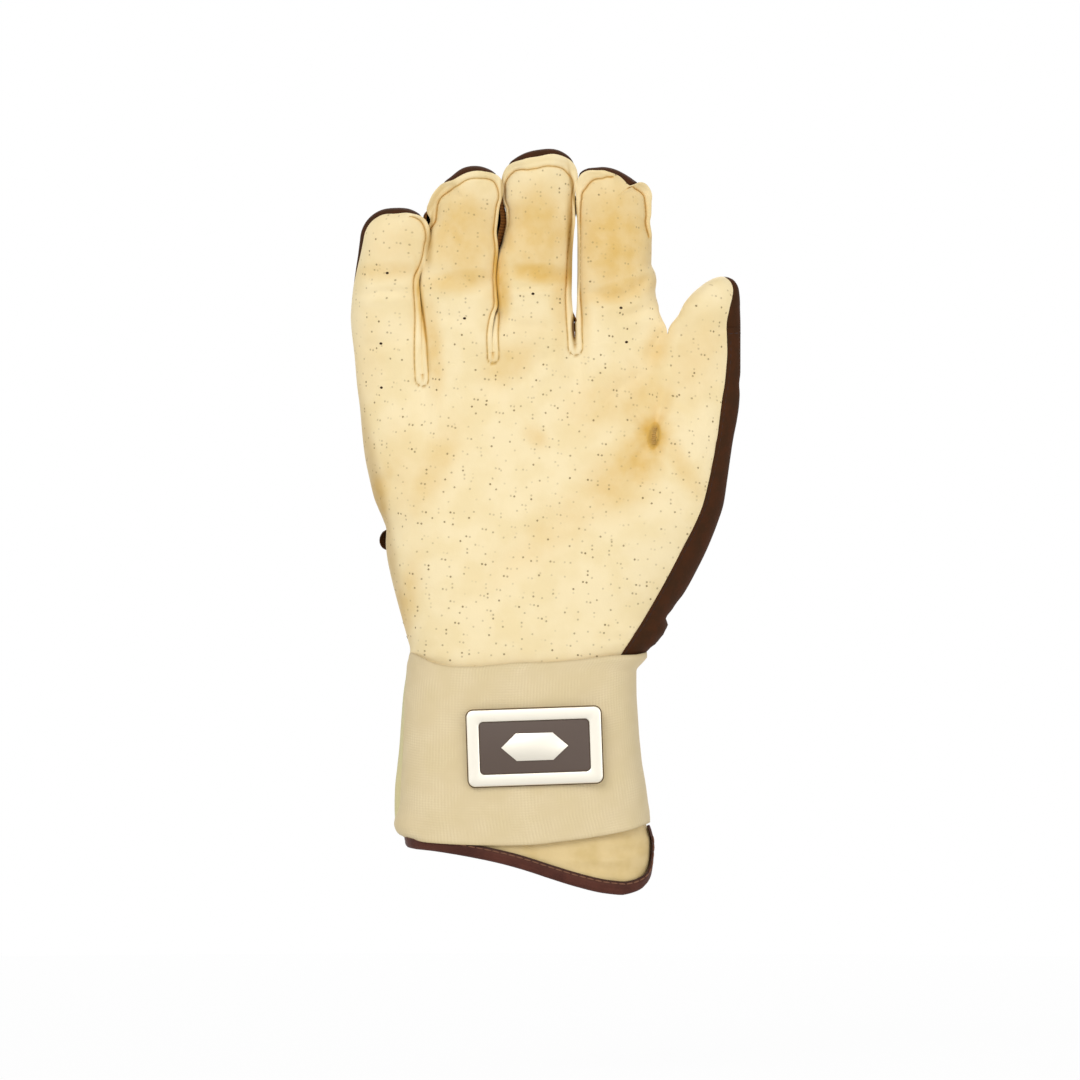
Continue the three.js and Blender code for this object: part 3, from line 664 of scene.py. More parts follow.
def finger_front(finger, place, share):
    """A point of a finger's front: place runs round the outline, share from its edge to its middle."""
    angle, start = front_spot(finger, side_of(place), share)
    z = height_at(finger, place, start)
    centre, outward, _ = stand(finger, place, z)
    distance, depth, seam, line, whole = front_section(finger, place, share, z)
    own = section_point(centre, outward, distance, depth)
    x, y, height = mix(hand_point(angle, z), own, smooth(z - start, 0, finger["morph"]))
    drop = palm_height(x, height) + seam
    return (x, y - drop, height, line, whole)


def hand_columns(spot, half):
    """Hand angle and height of each column's top, from the ulnar seam to the seam at the thumb."""
    columns = []
    for finger in FINGERS.values():
        columns += [spot(finger, -1, k / half) for k in range(half)]
        columns += [spot(finger, 1, 1 - k / half) for k in range(half)]
    columns.append(spot(FINGERS["thumb"], 1, 0))
    return columns


def column_at(columns, u):
    return round(u * (len(columns) - 1))


def column_angle(columns, u, z, start, end):
    """Hand angle of a column: spread evenly near the wrist, and as at the fingers' bases near them."""
    top_angle, last_angle = columns[column_at(columns, u)][0], columns[-1][0]
    even = start - (start - end) * u
    kept = start - (start - end) * (start - top_angle) / (start - last_angle)
    return lerp(even, kept, smooth(z, 120, 165))


PALM_FOOT = 68
PALM_ROWS = 120
PALM_COLUMNS = hand_columns(front_spot, HALF_COLUMNS)
# The last row of palm and back is tucked this far up and in under the fingers' leather
TUCK_UP = 0.8
TUCK_IN = 0.35


def tucked(v, rows, top):
    """Height of a row and how far it is tucked in."""
    share = v * (rows + 1) / rows
    last = share > 1 + 0.5 / rows
    return lerp(PALM_FOOT, top, min(share, 1)) + (TUCK_UP if last else 0), TUCK_IN if last else 0


def palm_point(u, v):
    z, tuck = tucked(v, PALM_ROWS, PALM_COLUMNS[column_at(PALM_COLUMNS, u)][1])
    angle = column_angle(PALM_COLUMNS, u, z, math.pi + ULNAR_WRAP, angle_at(thumb_seam(z), z))
    x, y, _ = hand_point(angle, z)
    relief, line, whole = welt_relief(x, z)
    across, up = x - BAR_TACK[0], z - BAR_TACK[1]
    # Painted shadow in a ring round the bar tack's pinch
    line = max(line, 0.9 * bell((math.hypot((across - BAR_TACK_SLANT * up) / 1.4, up / 3) - 1) / 0.35))
    shown = smooth(math.sin(angle), -0.2, 0.35)
    drop = palm_height(x, z) * smooth(z, PALM_FOOT, 77) + relief
    return (x, y - drop * shown + tuck, z, line, whole)


# Making of meshes

PALM_SIDE = (0, -1, 0)
BACK_SIDE = (0, 1, 0)


def unrolled(x, y, z):
    """Place of a point on the leather laid flat, for patterns that follow its surface."""
    side = clamp((x - 5) / 30, -1, 1)
    front = middle_y(x, z) - 13
    return (x + 0.75 * side * max(0.0, y - front), z, 0.0)


def set_patterns(vert, layers, shade=0.0, whole=0.0, flat=None):
    """Keeps a point's place on the flat leather, in metres, its amber tint and painted shade, and if it is
    unpierced.
    """
    x, y, z = vert.co
    vert[layers[0]] = Vector(flat or unrolled(x, y, z)) * MM
    dim = patch_strength_at(SHADES, x, z) if y < 0 else 0.0
    # The amber tint also takes the painted shade of the grooves, folds and SHADES on the palm side
    vert[layers[1]] = patch_strength_at(AMBER_PATCHES, x, z) + 1.4 * shade + 0.4 * dim if y < 0 else 0.0
    vert[layers[2]] = max(shade, dim)
    vert[layers[3]] = whole


def pattern_layers(bm):
    kinds = bm.verts.layers
    return kinds.float_vector.new("flat"), *(kinds.float.new(name) for name in ("amber", "shade", "whole"))


def piece_from(bm, name, material, facing=None, sharp=35):
    """A finished piece from a bmesh in millimetres: normals turned to the facing, hard edges marked."""
    if "flat" not in bm.verts.layers.float_vector:
        layers = pattern_layers(bm)
        for vert in bm.verts:
            set_patterns(vert, layers)
    if facing is None:
        bmesh.ops.recalc_face_normals(bm, faces=bm.faces)
    else:
        total = sum((face.normal * face.calc_area() for face in bm.faces), Vector())
        if total.dot(Vector(facing)) < 0:
            bmesh.ops.reverse_faces(bm, faces=bm.faces)
    for face in bm.faces:
        face.smooth = True
    mesh = bpy.data.meshes.new(name)
    bm.to_mesh(mesh)
    bm.free()
    piece = bpy.data.objects.new(name, mesh)
    bpy.context.scene.collection.objects.link(piece)
    mesh.materials.append(material)
    mesh.transform(Matrix.Scale(MM, 4))
    mark_sharp(mesh, sharp)
    return piece


def mark_sharp(mesh, degrees):
    bm = bmesh.new()
    bm.from_mesh(mesh)
    limit = math.radians(degrees)
    for edge in bm.edges:
        edge.smooth = len(edge.link_faces) == 2 and edge.calc_face_angle(0) < limit
    bm.to_mesh(mesh)
    bm.free()


def thicken(piece, thickness, sharp=50):
    """Gives a skin its thickness on the inside and makes it the piece's own mesh."""
    solid = piece.modifiers.new("thickness", "SOLIDIFY")
    solid.thickness = thickness * MM
    solid.offset = -1
    solid.use_even_offset = True
    solid.thickness_clamp = 1.5
    solid.use_quality_normals = True
    graph = bpy.context.evaluated_depsgraph_get()
    mesh = bpy.data.meshes.new_from_object(piece.evaluated_get(graph), preserve_all_data_layers=True,
                                           depsgraph=graph)
    piece.modifiers.clear()
    old = piece.data
    piece.data = mesh
    bpy.data.meshes.remove(old)
    mesh.name = piece.name
    mark_sharp(mesh, sharp)
    return piece


def skin(name, columns, rows, point_at, material, facing, thickness=LEATHER, weld=True, flat_at=None):
    """A sheet of leather or cloth: a grid whose points, with their shade, are given for two shares."""
    bm = bmesh.new()
    layers = pattern_layers(bm)
    bmesh.ops.create_grid(bm, x_segments=columns, y_segments=rows, size=0.5)
    for vert in bm.verts:
        u, v = clamp(vert.co.x + 0.5), clamp(vert.co.y + 0.5)
        x, y, z, *tones = point_at(u, v)
        vert.co = (x, y, z)
        set_patterns(vert, layers, *tones, flat=flat_at(u, v) if flat_at else None)
    if weld:
        bmesh.ops.remove_doubles(bm, verts=bm.verts, dist=0.02)
    bm.normal_update()
    return thicken(piece_from(bm, name, material, facing), thickness)


def bend_with(piece, finger_name):
    """Bakes the transform of a finger's piece into its mesh; the slope and lowest height of its base crease
    are worked out and not used.
    """
    finger = FINGERS[finger_name]
    middle = finger["base"][0]
    left, right = finger["edges"].values()
    slope = (base_height(right) - base_height(left)) / (right - left)
    low = max(base_height(x) - slope * (x - middle) for x in (left, middle, right))
    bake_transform(piece)
    return piece


# Fingers

FRONT_PLACES = 230
BACK_PLACES = 150
BACK_HALF = 16
GUSSET_ANGLE = math.radians(30)
GUSSET_END = SIDE_SHARE + 0.06
GUSSET_SAG = 1.6
# How much deeper than the cream leather's edge the brown leather begins, and how far it keeps inside a rim
UNDERLAP = 0.7
INSET = 0.7


def add_finger_front(finger, material):
    name = finger["name"]
    piece = skin(
        f"{name}_front_leather",
        FRONT_PLACES,
        HALF_COLUMNS,
        lambda u, v: finger_front(finger, u, v),
        material,
        PALM_SIDE,
    )
    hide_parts(f"{name}_front")
    return bend_with(piece, name)


def gusset_share(finger, place):
    """How far a gusset lies between front and back: none at a plain seam or over the tip."""
    if finger["sides"][side_of(place)] == "seam":
        return 0
    return 1 - smooth(min(place, 1 - place), SIDE_SHARE - 0.01, GUSSET_END)


def bulge_at(finger, place, z):
    """How far the brown part bulges out at a finger's side, and not over its tip."""
    beside = 1 - smooth(min(place, 1 - place), SIDE_SHARE, SIDE_SHARE + 0.03)
    return at_height(finger, "bulges", place, z) * beside


def tube_radius(finger, place, z, radius):
    """Radius of the brown part, which bulges out between some fingers and else keeps inside the rims."""
    shown = max(0.0, brown_margin(finger, place, z))
    hidden = max(0.0, INSET - shown) * rim_presence(finger["rim_at"](place))
    return radius - hidden + bulge_at(finger, place, z)


def tube_start(finger, place, z):
    """Section angle at which the brown tube comes out from under the front leather."""
    radius = stand(finger, place, z)[2]
    front = finger_depth(finger, z, True)
    under = math.asin(clamp((rim_depth(finger, place, front) - 1) / front) ** (SECTION / 2))
    bare = edge_angle(brown_margin(finger, place, z), radius) + 0.05
    return lerp(bare, under, rim_presence(finger["rim_at"](place)))


def tube_point(finger, place, z, angle):
    centre, outward, radius = stand(finger, place, z)
    rise = rounded(math.sin(angle), 2 / SECTION)
    distance = tube_radius(finger, place, z, radius) * rounded(math.cos(angle), 2 / SECTION)
    return section_point(centre, outward, distance, finger_depth(finger, z, rise > 0) * rise)


def back_height(x, z):
    """Unevenness of the back's leather."""
    return 0.4 * ripple(x, z, 15, 21) + 0.15 * ripple(x, z, 5, 27)


def pressed(x, z):
    """How far the folds of the palm side press in whatever lies under its leather."""
    return max(0.0, -palm_height(x, z))


def finger_back(finger, place, share):
    """A point of a finger's back, with the shares counted as on its front."""
    angle, start = back_spot(finger, side_of(place), share)
    z = height_at(finger, place, start)
    begin = tube_start(finger, place, z)
    grown = smooth(z - start, 0, finger["morph"])
    edge = lerp(begin, -GUSSET_ANGLE * grown, gusset_share(finger, place))
    own = tube_point(finger, place, z, lerp(edge, -math.pi / 2, share))
    at_hand = hand_point(-angle, z)
    x, y, height = mix(at_hand, own, grown)
    rear = smooth(share, 0, 0.4)
    y += rear * back_height(x, height)
    under = (1 - smooth(share, 0, 0.12)) * smooth(math.sin(edge), -0.2, 0.2)
    if under > 0:
        middle_x, middle_z = stand(finger, place, z)[0]
        inward = under * UNDERLAP / max(1.0, math.hypot(x - middle_x, height - middle_z))
        x, height = lerp(x, middle_x, inward), lerp(height, middle_z, inward)
        y += under * pressed(x, height)
    return (x, y, height)


def add_finger_back(finger, material):
    name = finger["name"]
    piece = skin(
        f"{name}_back_leather",
        BACK_PLACES,
        BACK_HALF,
        lambda u, v: finger_back(finger, u, v),
        material,
        BACK_SIDE,
        thickness=1.0,
    )
    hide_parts(f"{name}_back")
    return bend_with(piece, name)


def gusset_point(finger, side, u, v):
    """A point of the strip between front and back: u runs up the finger, v from the front to the back."""
    place = u * GUSSET_END if side < 0 else 1 - u * GUSSET_END
    edge_x = finger["edges"][side]
    start = base_height(edge_x)
    z = height_at(finger, place, start)
    begin = tube_start(finger, place, z) + 0.08
    grown = smooth(z - start, 0, finger["morph"])
    end = lerp(begin, -GUSSET_ANGLE * grown, gusset_share(finger, place)) - 0.06
    own = tube_point(finger, place, z, lerp(begin, end, v))
    angle = angle_at(edge_x, start)
    front, back = hand_point(angle, z), hand_point(-angle, z)
    across = (
        front[0] - side * 0.2,
        lerp(front[1] + 0.8, back[1] - 0.8, v),
        z - GUSSET_SAG * math.sin(math.pi * v),
    )
    outward = side * (bulge_at(finger, place, z) * (1 - grown) - 0.25 * math.sin(math.pi * v))
    x, y, height = mix(across, own, grown)
    return (x + outward, y + (1 - v) * grown * pressed(x, height), height)


# The CAD nodes that each strip replaces, by finger and side
GUSSETS = {
    ("little", 1): ("little_gusset_right", "web_little_ring"),
    ("ring", -1): ("ring_gusset_left",),
    ("ring", 1): ("ring_gusset_right", "web_ring_middle"),
    ("middle", -1): ("middle_gusset_left",),
    ("middle", 1): ("middle_gusset_right", "web_middle_index"),
    ("index", -1): ("index_gusset_left",),
    ("index", 1): ("web_index_thumb",),
    ("thumb", -1): (),
}


def add_gussets(fabric, leather):
    for (name, side), nodes in GUSSETS.items():
        finger = FINGERS[name]
        web = finger["sides"][side] == "web"
        piece = skin(
            f"{name}_side_{'left' if side < 0 else 'right'}",
            90,
            12,
            lambda u, v, finger=finger, side=side: gusset_point(finger, side, u, v),
            leather if web else fabric,
            (side, 0, 0),
            thickness=0.7,
        )
        if nodes:
            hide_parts(*nodes)
        bend_with(piece, name)


# Hand


def add_palm(material):
    piece = skin("palm_leather_skin", len(PALM_COLUMNS) - 1, PALM_ROWS + 1, palm_point, material, PALM_SIDE)
    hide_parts("palm_leather")
    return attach(piece, "hand")


BACK_ROWS = 110
BACK_COLUMNS = hand_columns(back_spot, BACK_HALF)
# A half-moon lump in the back's edge beside the palm: height of its middle, its half height and its rise
LUMP_MIDDLE = 117.2
LUMP_HALF = 3.6
LUMP_RISE = 2.9


def gathers(column, z):
    """Shirring of the back over the elastic at the wrist, a little different in every column."""
    return 0.9 * math.sin(z * 1.35 + 1.5 * ripple(column, z, 14, 4)) * bell((z - 87) / 7)


def back_point(u, v):
    column = column_at(BACK_COLUMNS, u)
    z, tuck = tucked(v, BACK_ROWS, BACK_COLUMNS[column][1])
    start = math.pi - ULNAR_WRAP
    angle = column_angle(BACK_COLUMNS, u, z, start, -angle_at(thumb_seam(z), z))
    moon = math.sqrt(clamp(1 - ((z - LUMP_MIDDLE) / LUMP_HALF) ** 2))
    lump = LUMP_RISE * moon * bell((angle - start) / 0.2)
    lift = gathers(column, z) * smooth(angle, -0.3, 0.3) + 0.25 * bell((u - 1) / 0.012) + lump
    x, y, _ = hand_point(-angle, z, lift)
    rear = smooth(math.sin(angle), 0.1, 0.5)
    net = smooth(angle, -0.15, 0.1) * (1 - smooth(z, 106, 122))
    return (x, y + rear * back_height(x, z) - tuck, z, net)


def add_back(material):
    columns = len(BACK_COLUMNS) - 1
    piece = skin("back_leather_skin", columns, BACK_ROWS + 1, back_point, material, BACK_SIDE, thickness=1.0)
    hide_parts("back_panel")
    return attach(piece, "hand")


# Cuff, binding and strap

# The cuff's lower rim on the palm side, as (place across, height)
rim_line = curve_through([
    (-41, 18), (-39.3, 17.3), (-31.7, 16.6), (-23.4, 15.4), (-17.8, 14.4), (-9.4, 12.6), (-1.1, 10.3),
    (7.3, 7.5), (15.7, 4.9), (24, 2.9), (30.4, 2.1),
])
BINDING_HEIGHT = 4.5
CUFF_TOP = 74
CUFF_TUCK = 1.9
STRAP_MIDDLE = 50


def girths():
    """Length round the cuff up to each of many angles, at the strap's middle height."""
    steps = 400
    places = [Vector(hand_point(2 * math.pi * k / steps, STRAP_MIDDLE)) for k in range(steps + 1)]
    lengths = [0.0]
    for here, ahead in zip(places, places[1:]):
        lengths.append(lengths[-1] + (ahead - here).length)
    return lengths


GIRTHS = girths()


def girth(angle):
    place = (angle / (2 * math.pi) % 1) * (len(GIRTHS) - 1)
    k = int(place)
    turns = math.floor(angle / (2 * math.pi))
    return lerp(GIRTHS[k], GIRTHS[min(k + 1, len(GIRTHS) - 1)], place - k) + turns * GIRTHS[-1]


# The vent's half width as an angle, its top, and the round corners of the rim beside it
VENT = 0.2
VENT_TOP = 22.6
VENT_SHARE = 0.06
CORNER_REACH = 16
CORNER_RISE = 11


def rim_height(angle):
    low = rim_line(hand_point(angle, 8)[0])
    reach = min(girth(angle) - girth(VENT), girth(2 * math.pi - VENT) - girth(angle))
    share = clamp(1 - reach / CORNER_REACH)
    return low + CORNER_RISE * (1 - math.sqrt(1 - share**2))


def cuff_angle(share):
    return lerp(VENT, 2 * math.pi - VENT, share)


# The fold across the cuff's front, as (place across, height)
cuff_fold = curve_through([(6, 13.4), (18.4, 13.6), (29.6, 14.4), (35.2, 15.4), (39.6, 17.5)])


def cuff_point(u, v):
    angle = cuff_angle(u)
    low = rim_height(angle) + 0.6
    z = lerp(low, CUFF_TOP, v)
    x, y, _ = hand_point(angle, z, -CUFF_TUCK * smooth(z, 62, 67))
    wave = math.sin(z * 1.1 + 2.2 * ripple(x, z, 22, 9))
    wrinkle = 0.2 * wave * smooth(x, -20, 25) * (1 - smooth(z, 16, 26))
    above = z - cuff_fold(x)
    crease = (0.5 * bell((above + 1.6) / 1.6) - 0.6 * bell(above / 0.8)) * smooth(x, 2, 16)
    hollow = -0.7 * bell((x - 28) / 2.4) * (1 - smooth(z, 8, 18))
    swell = 0.3 * ripple(x, z, 12, 5)
    return (x, y - (wrinkle + crease + hollow + swell) * math.sin(angle), z)


def add_cuff(material):
    for name, low, high in (("cuff_front", 0.0, 0.5), ("cuff_back", 0.5, 1.0)):
        piece = skin(
            f"{name}_leather",
            110,
            70,
            lambda u, v, low=low, high=high: cuff_point(lerp(low, high, u), v),
            material,
            PALM_SIDE if low == 0 else BACK_SIDE,
        )
        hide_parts(name)
        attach(piece, "hand")


def rim_path(share):
    """Angle and height along the rim, from the vent's front edge round the hand opening to its back edge."""
    if share < VENT_SHARE:
        return VENT, lerp(VENT_TOP, rim_height(VENT), share / VENT_SHARE)
    if share > 1 - VENT_SHARE:
        return -VENT, lerp(VENT_TOP, rim_height(VENT), (1 - share) / VENT_SHARE)
    angle = cuff_angle((share - VENT_SHARE) / (1 - 2 * VENT_SHARE))
    return angle, rim_height(angle)


# Radius of the tape's fold under the rim, share of the tape on either side of it, and a short step along it
BINDING_FOLD = 1.5
BINDING_SIDE = 0.38
RIM_STEP = 0.006


def binding_point(u, v):
    """A point of the tape: up its outside, round the fold under the rim and up its inside."""
    angle, z = rim_path(u)
    here = Vector(hand_point(angle, z))
    ahead, before = rim_path(min(u + RIM_STEP, 1)), rim_path(max(u - RIM_STEP, 0))
    along = Vector(hand_point(*ahead)) - Vector(hand_point(*before))
    along.normalize()
    out = Vector((math.cos(angle), -math.sin(angle), 0))
    out = (out - along * out.dot(along)).normalized()
    into = along.cross(out)
    flat = BINDING_HEIGHT - BINDING_FOLD
    if v < BINDING_SIDE:
        share = (BINDING_SIDE - v) / BINDING_SIDE
        puff = 0.35 * math.sin(math.pi * share)
        spot = here + into * (flat * share) + out * (0.9 + puff)
    elif v > 1 - BINDING_SIDE:
        share = (v - 1 + BINDING_SIDE) / BINDING_SIDE
        spot = here + into * (flat * share) - out * (LEATHER + 0.7)
    else:
        turn = math.pi * (v - BINDING_SIDE) / (1 - 2 * BINDING_SIDE)
        middle = here - out * (LEATHER - 0.2) / 2
        spot = middle + out * (BINDING_FOLD * math.cos(turn)) - into * (BINDING_FOLD * math.sin(turn))
    wave = 0.18 * noise.noise(spot * 0.35)
    # Painted shade along the tape's upper edge, where it meets the cuff
    return (*(spot + out * wave), bell(v / 0.11))


def add_binding(material):
    piece = skin("cuff_binding_tape", 420, 26, binding_point, material, (0, 0, -1), thickness=0.8, weld=False)
    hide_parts("cuff_binding")
    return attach(piece, "hand")


# Upper and lower edge of the strap, as (share of the way from the little finger's side, height)
strap_top_line = curve_through([
    (0, 80.4), (0.07, 78.4), (0.13, 76.6), (0.2, 75.8), (0.28, 75.7), (0.39, 76.4), (0.47, 77), (0.6, 77.2),
    (0.71, 77.9), (0.81, 78.9), (0.88, 79.4), (0.95, 79.5), (1, 80.2),
])
strap_bottom_line = curve_through([
    (0, 19.4), (0.09, 18.05), (0.19, 17.5), (0.3, 17.2), (0.4, 17.1), (0.5, 17.3), (0.6, 18.2),
    (0.74, 19.7), (0.88, 21.7), (0.95, 23.1), (1, 24.2),
])


def strap_share(angle):
    """How far an angle lies from the little finger's side to the thumb's, from 0 to 1."""
    return (1 + rounded(math.cos(angle), 2 / CUFF_SQUARENESS)) / 2


def strap_top(angle):
    return strap_top_line(strap_share(angle))


def strap_bottom(angle):
    return strap_bottom_line(strap_share(angle))


def strap_flare(angle, z):
    """How far the strap stands out at its rounded lower corner, and how close it lies at the two others."""
    side = smooth(-math.cos(angle), 0.7, 1)
    turn = clamp((23.8 - z) / 4.6)
    corner = 2.2 * (1 - smooth(z, 23, 31)) - 4 * (1 - math.sqrt(1 - turn * turn))
    close = -1.2 * (1 - smooth(strap_top(angle) - z, 0, 5))
    return side * (corner + close) - smooth(math.cos(angle), 0.7, 1) * (1 - smooth(z, 24, 28))


STRAP_ROWS = 90


def strap_skin(name, first, last, columns, lift_at, material, low_at=strap_bottom, high_at=strap_top,
               thickness=1.7, facing=BACK_SIDE):
    """A piece of the strap between two angles round the cuff, held off its surface by a lift."""
    def point(u, v):
        angle = lerp(first, last, u)
        low, high = low_at(angle), high_at(angle)
        z = lerp(low, high, v)
        edge = min(v, 1 - v) * (high - low)
        selvedge = 0.18 * bell((edge - 1.2) / 0.9)
        across = hand_point(angle, z)[0]
        sway = 0.35 * ripple(across, z, 20, 13) + 0.12 * ripple(across, z, 7, 17)
        widest = lerp(76.5, 78.2, strap_share(angle))
        lift = lift_at(angle) + thickness + selvedge + sway + strap_flare(angle, z)
        x, y, _ = hand_point(angle, min(z, widest), lift)
        # Painted shade along both edges of the strap, and of the pull tab that is made the same way
        return (x, y, z, 0.5 * bell(edge / 0.5))

    def flat(u, v):
        angle = lerp(first, last, u)
        return girth(angle), (high_at(angle) - low_at(angle)) * v, 0

    return skin(name, columns, STRAP_ROWS, point, material, facing, thickness=thickness, flat_at=flat)


def strap_blend(piece):
    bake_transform(piece)
    return piece


def steady(value):
    """A measure that is the same at every angle."""
    return lambda angle: value


STRAP_LIFT = 0.3


def add_strap_band(elastic):
    """The strap's sewn end behind the cuff, and its band across the palm side."""
    anchor = strap_skin("strap_sewn_end", -math.radians(52), 0, 60, steady(STRAP_LIFT), elastic)
    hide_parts("strap_anchor")
    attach(anchor, "hand")

    band = strap_skin("strap_band_elastic", 0, math.pi, 190, steady(STRAP_LIFT), elastic, facing=PALM_SIDE)
    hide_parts("strap_band")
    strap_blend(band)


# The tab runs on from the band behind the cuff, where it lifts off and grows narrower; angles in degrees
TAB_LIFT_REACH = 36
TAB_NARROW = 41
PULL_START = 80
TAB_END = 82
PULL_END = 100
TAB_LIFT = 3.3
TAB_CENTRE = (strap_top(math.pi) + strap_bottom(math.pi)) / 2
TAB_HALF = 22


def behind(degrees):
    """The angle round the cuff this far behind the little finger's side."""
    return math.pi + math.radians(degrees)


def tab_lift(angle):
    return lerp(STRAP_LIFT, TAB_LIFT, smooth(angle - math.pi, 0, math.radians(TAB_LIFT_REACH)))


def tab_narrowed(angle):
    return smooth(angle, behind(TAB_NARROW), behind(TAB_END))


def tab_low(angle):
    return lerp(strap_bottom(angle), TAB_CENTRE - TAB_HALF, tab_narrowed(angle))


def tab_high(angle):
    return lerp(strap_top(angle), TAB_CENTRE + TAB_HALF, tab_narrowed(angle))


def add_strap_tab(elastic):
    tab = strap_skin("strap_tab_elastic", math.pi, behind(TAB_END), 110, tab_lift, elastic, tab_low, tab_high)
    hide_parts("strap_tab")
    strap_blend(tab)


# How far the second layer of elastic stands out past the band at the strap's side, as (height, distance)
lining_stand = curve_through([(26, 1.9), (36, 1.8), (42, 1.4), (50, 0.9), (58, 0.7), (66, 0.5), (74, 0.2)])


def add_tab_lining(elastic):
    def lining_point(u, v):
        angle = math.pi + lerp(-0.16, 0.5, u)
        z = lerp(25, 74, v)
        return hand_point(angle, z, 1.9 + lining_stand(z) * smooth(u, 0, 0.1))

    lining = skin("strap_tab_edge_lining", 30, 50, lining_point, elastic, (-1, 0, 0), thickness=1.4)
    strap_blend(lining)


def add_pull_tab(leather):
    def pull_lift(angle):
        return tab_lift(angle) + 1.2

    pull = strap_skin("strap_pull_tab", behind(PULL_START), behind(PULL_END), 40, pull_lift, leather,
                      tab_low, tab_high, thickness=1.6)
    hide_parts("pull_tab")
    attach(pull, "strap_tab")


# Piece, node, body, first and last angle behind, lowest and highest point, lift
TAPES = (
    ("loop_tape", "loop_patch", "hand", 36, 112, 29, 67, 0.3),
    ("hook_tape", "hook_patch", "strap_tab", 44, 79, 32, 62, 1.8),
)


def add_tapes(material):
    for name, node, body, first, last, low, high, lift in TAPES:
        piece = strap_skin(name, behind(first), behind(last), 60, steady(lift), material,
                           steady(low), steady(high), thickness=1.1)
        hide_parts(node)
        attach(piece, body)


# Badge

BADGE_X = 1.55
BADGE_Z = 49.5
BADGE_WIDTH = 44
BADGE_HEIGHT = 25
BADGE_CORNER = 2.2
BADGE_RAIL = 3.9
BADGE_LIFT = 2.4
BADGE_TURN = math.radians(2)
FRAME_RISE = 1.8
PLATE_DEPTH = 0.9
PANEL_WIDTH = BADGE_WIDTH - 2 * BADGE_RAIL
PANEL_HEIGHT = BADGE_HEIGHT - 2 * BADGE_RAIL
# Corners of the pointed bar, as (place across, height) from its middle
BAR_CORNERS = ((-11, 0), (-6, -4.5), (6, -4.5), (11, 0), (6, 4.5), (-6, 4.5))


def badge_piece(bm, name, material, depth=0.0):
    """Finishes a part of the badge, set on the strap and moved along Y by a depth."""
    y = hand_point(angle_at(BADGE_X, BADGE_Z), BADGE_Z, BADGE_LIFT)[1]
    place = Matrix.Translation((BADGE_X, y, BADGE_Z)) @ Matrix.Rotation(-BADGE_TURN, 4, "Y")
    bmesh.ops.transform(bm, matrix=place @ Matrix.Translation((0, depth, 0)), verts=bm.verts)
    return piece_from(bm, name, material)


def bevel_edges(bm, edges, offset, segments):
    bmesh.ops.bevel(bm, geom=edges, offset=offset, offset_type="OFFSET", segments=segments, profile=0.5,
                    affect="EDGES", material=-1, clamp_overlap=True)


def raise_faces(bm, height):
    """Makes a flat shape solid, its face this far towards -Y."""
    grown = bmesh.ops.extrude_face_region(bm, geom=list(bm.faces))["geom"]
    raised = [part for part in grown if isinstance(part, bmesh.types.BMVert)]
    bmesh.ops.translate(bm, vec=(0, -height, 0), verts=raised)
    bmesh.ops.recalc_face_normals(bm, faces=bm.faces)


def soften_front(bm, offset):
    """Rounds the edges of the face that lies foremost."""
    front = min(bm.faces, key=lambda face: (round(face.calc_center_median().y, 4), -face.calc_area()))
    bevel_edges(bm, list(front.edges), offset, 2)


def rounded_plate(width, height, corner):
    """A plate with rounded corners that stands in the XZ plane, its face at -Y."""
    bm = bmesh.new()
    bmesh.ops.create_cube(bm, size=1)
    bmesh.ops.scale(bm, vec=(width, PLATE_DEPTH, height), verts=bm.verts)
    bmesh.ops.translate(bm, vec=(0, -PLATE_DEPTH / 2, 0), verts=bm.verts)
    upright = [e for e in bm.edges if abs(e.verts[0].co.y - e.verts[1].co.y) > PLATE_DEPTH / 2]
    bevel_edges(bm, upright, corner, 8)
    return bm


def rounded_outline(bm, width, height, corner, steps=8):
    """A closed run of edges round a rectangle with rounded corners, in the XZ plane."""
    verts = []
    for side, up, first in ((1, 1, 0), (-1, 1, 90), (-1, -1, 180), (1, -1, 270)):
        for k in range(steps + 1):
            turn = math.radians(first + 90 * k / steps)
            x = side * (width / 2 - corner) + corner * math.cos(turn)
            z = up * (height / 2 - corner) + corner * math.sin(turn)
            verts.append(bm.verts.new((x, 0, z)))
    return [bm.edges.new((here, verts[k - 1])) for k, here in enumerate(verts)]


def add_badge_frame(metal):
    bm = bmesh.new()
    loops = rounded_outline(bm, BADGE_WIDTH, BADGE_HEIGHT, BADGE_CORNER)
    loops += rounded_outline(bm, PANEL_WIDTH, PANEL_HEIGHT, 1.5)
    bmesh.ops.bridge_loops(bm, edges=loops)
    raise_faces(bm, FRAME_RISE)
    top = 0.1 - FRAME_RISE
    crest = [e for e in bm.edges if all(vert.co.y < top for vert in e.verts) and e.calc_face_angle(0) > 1]
    bevel_edges(bm, crest, 0.35, 3)
    frame_piece = badge_piece(bm, "badge_metal_frame", metal)
    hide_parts("badge_frame")
    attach(frame_piece, "strap_band")


def add_badge_backing(backing):
    bm = rounded_plate(BADGE_WIDTH + 0.7, BADGE_HEIGHT + 0.7, BADGE_CORNER + 0.3)
    plate = badge_piece(bm, "badge_backing_plate", backing, -0.05)
    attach(plate, "strap_band")


def add_badge_panel(material):
    bm = rounded_plate(PANEL_WIDTH - 0.3, PANEL_HEIGHT - 0.3, 1.3)
    soften_front(bm, 0.15)
    panel = badge_piece(bm, "badge_dark_panel", material, -0.4)
    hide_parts("badge_panel")
    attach(panel, "strap_band")


def add_badge_bar(metal):
    bm = bmesh.new()
    bm.faces.new([bm.verts.new((x, 0, z)) for x, z in BAR_CORNERS])
    raise_faces(bm, 0.5)
    soften_front(bm, 0.14)
    emblem = badge_piece(bm, "badge_pointed_bar", metal, -1.28)
    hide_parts("badge_emblem")
    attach(emblem, "strap_band")


# Small trim


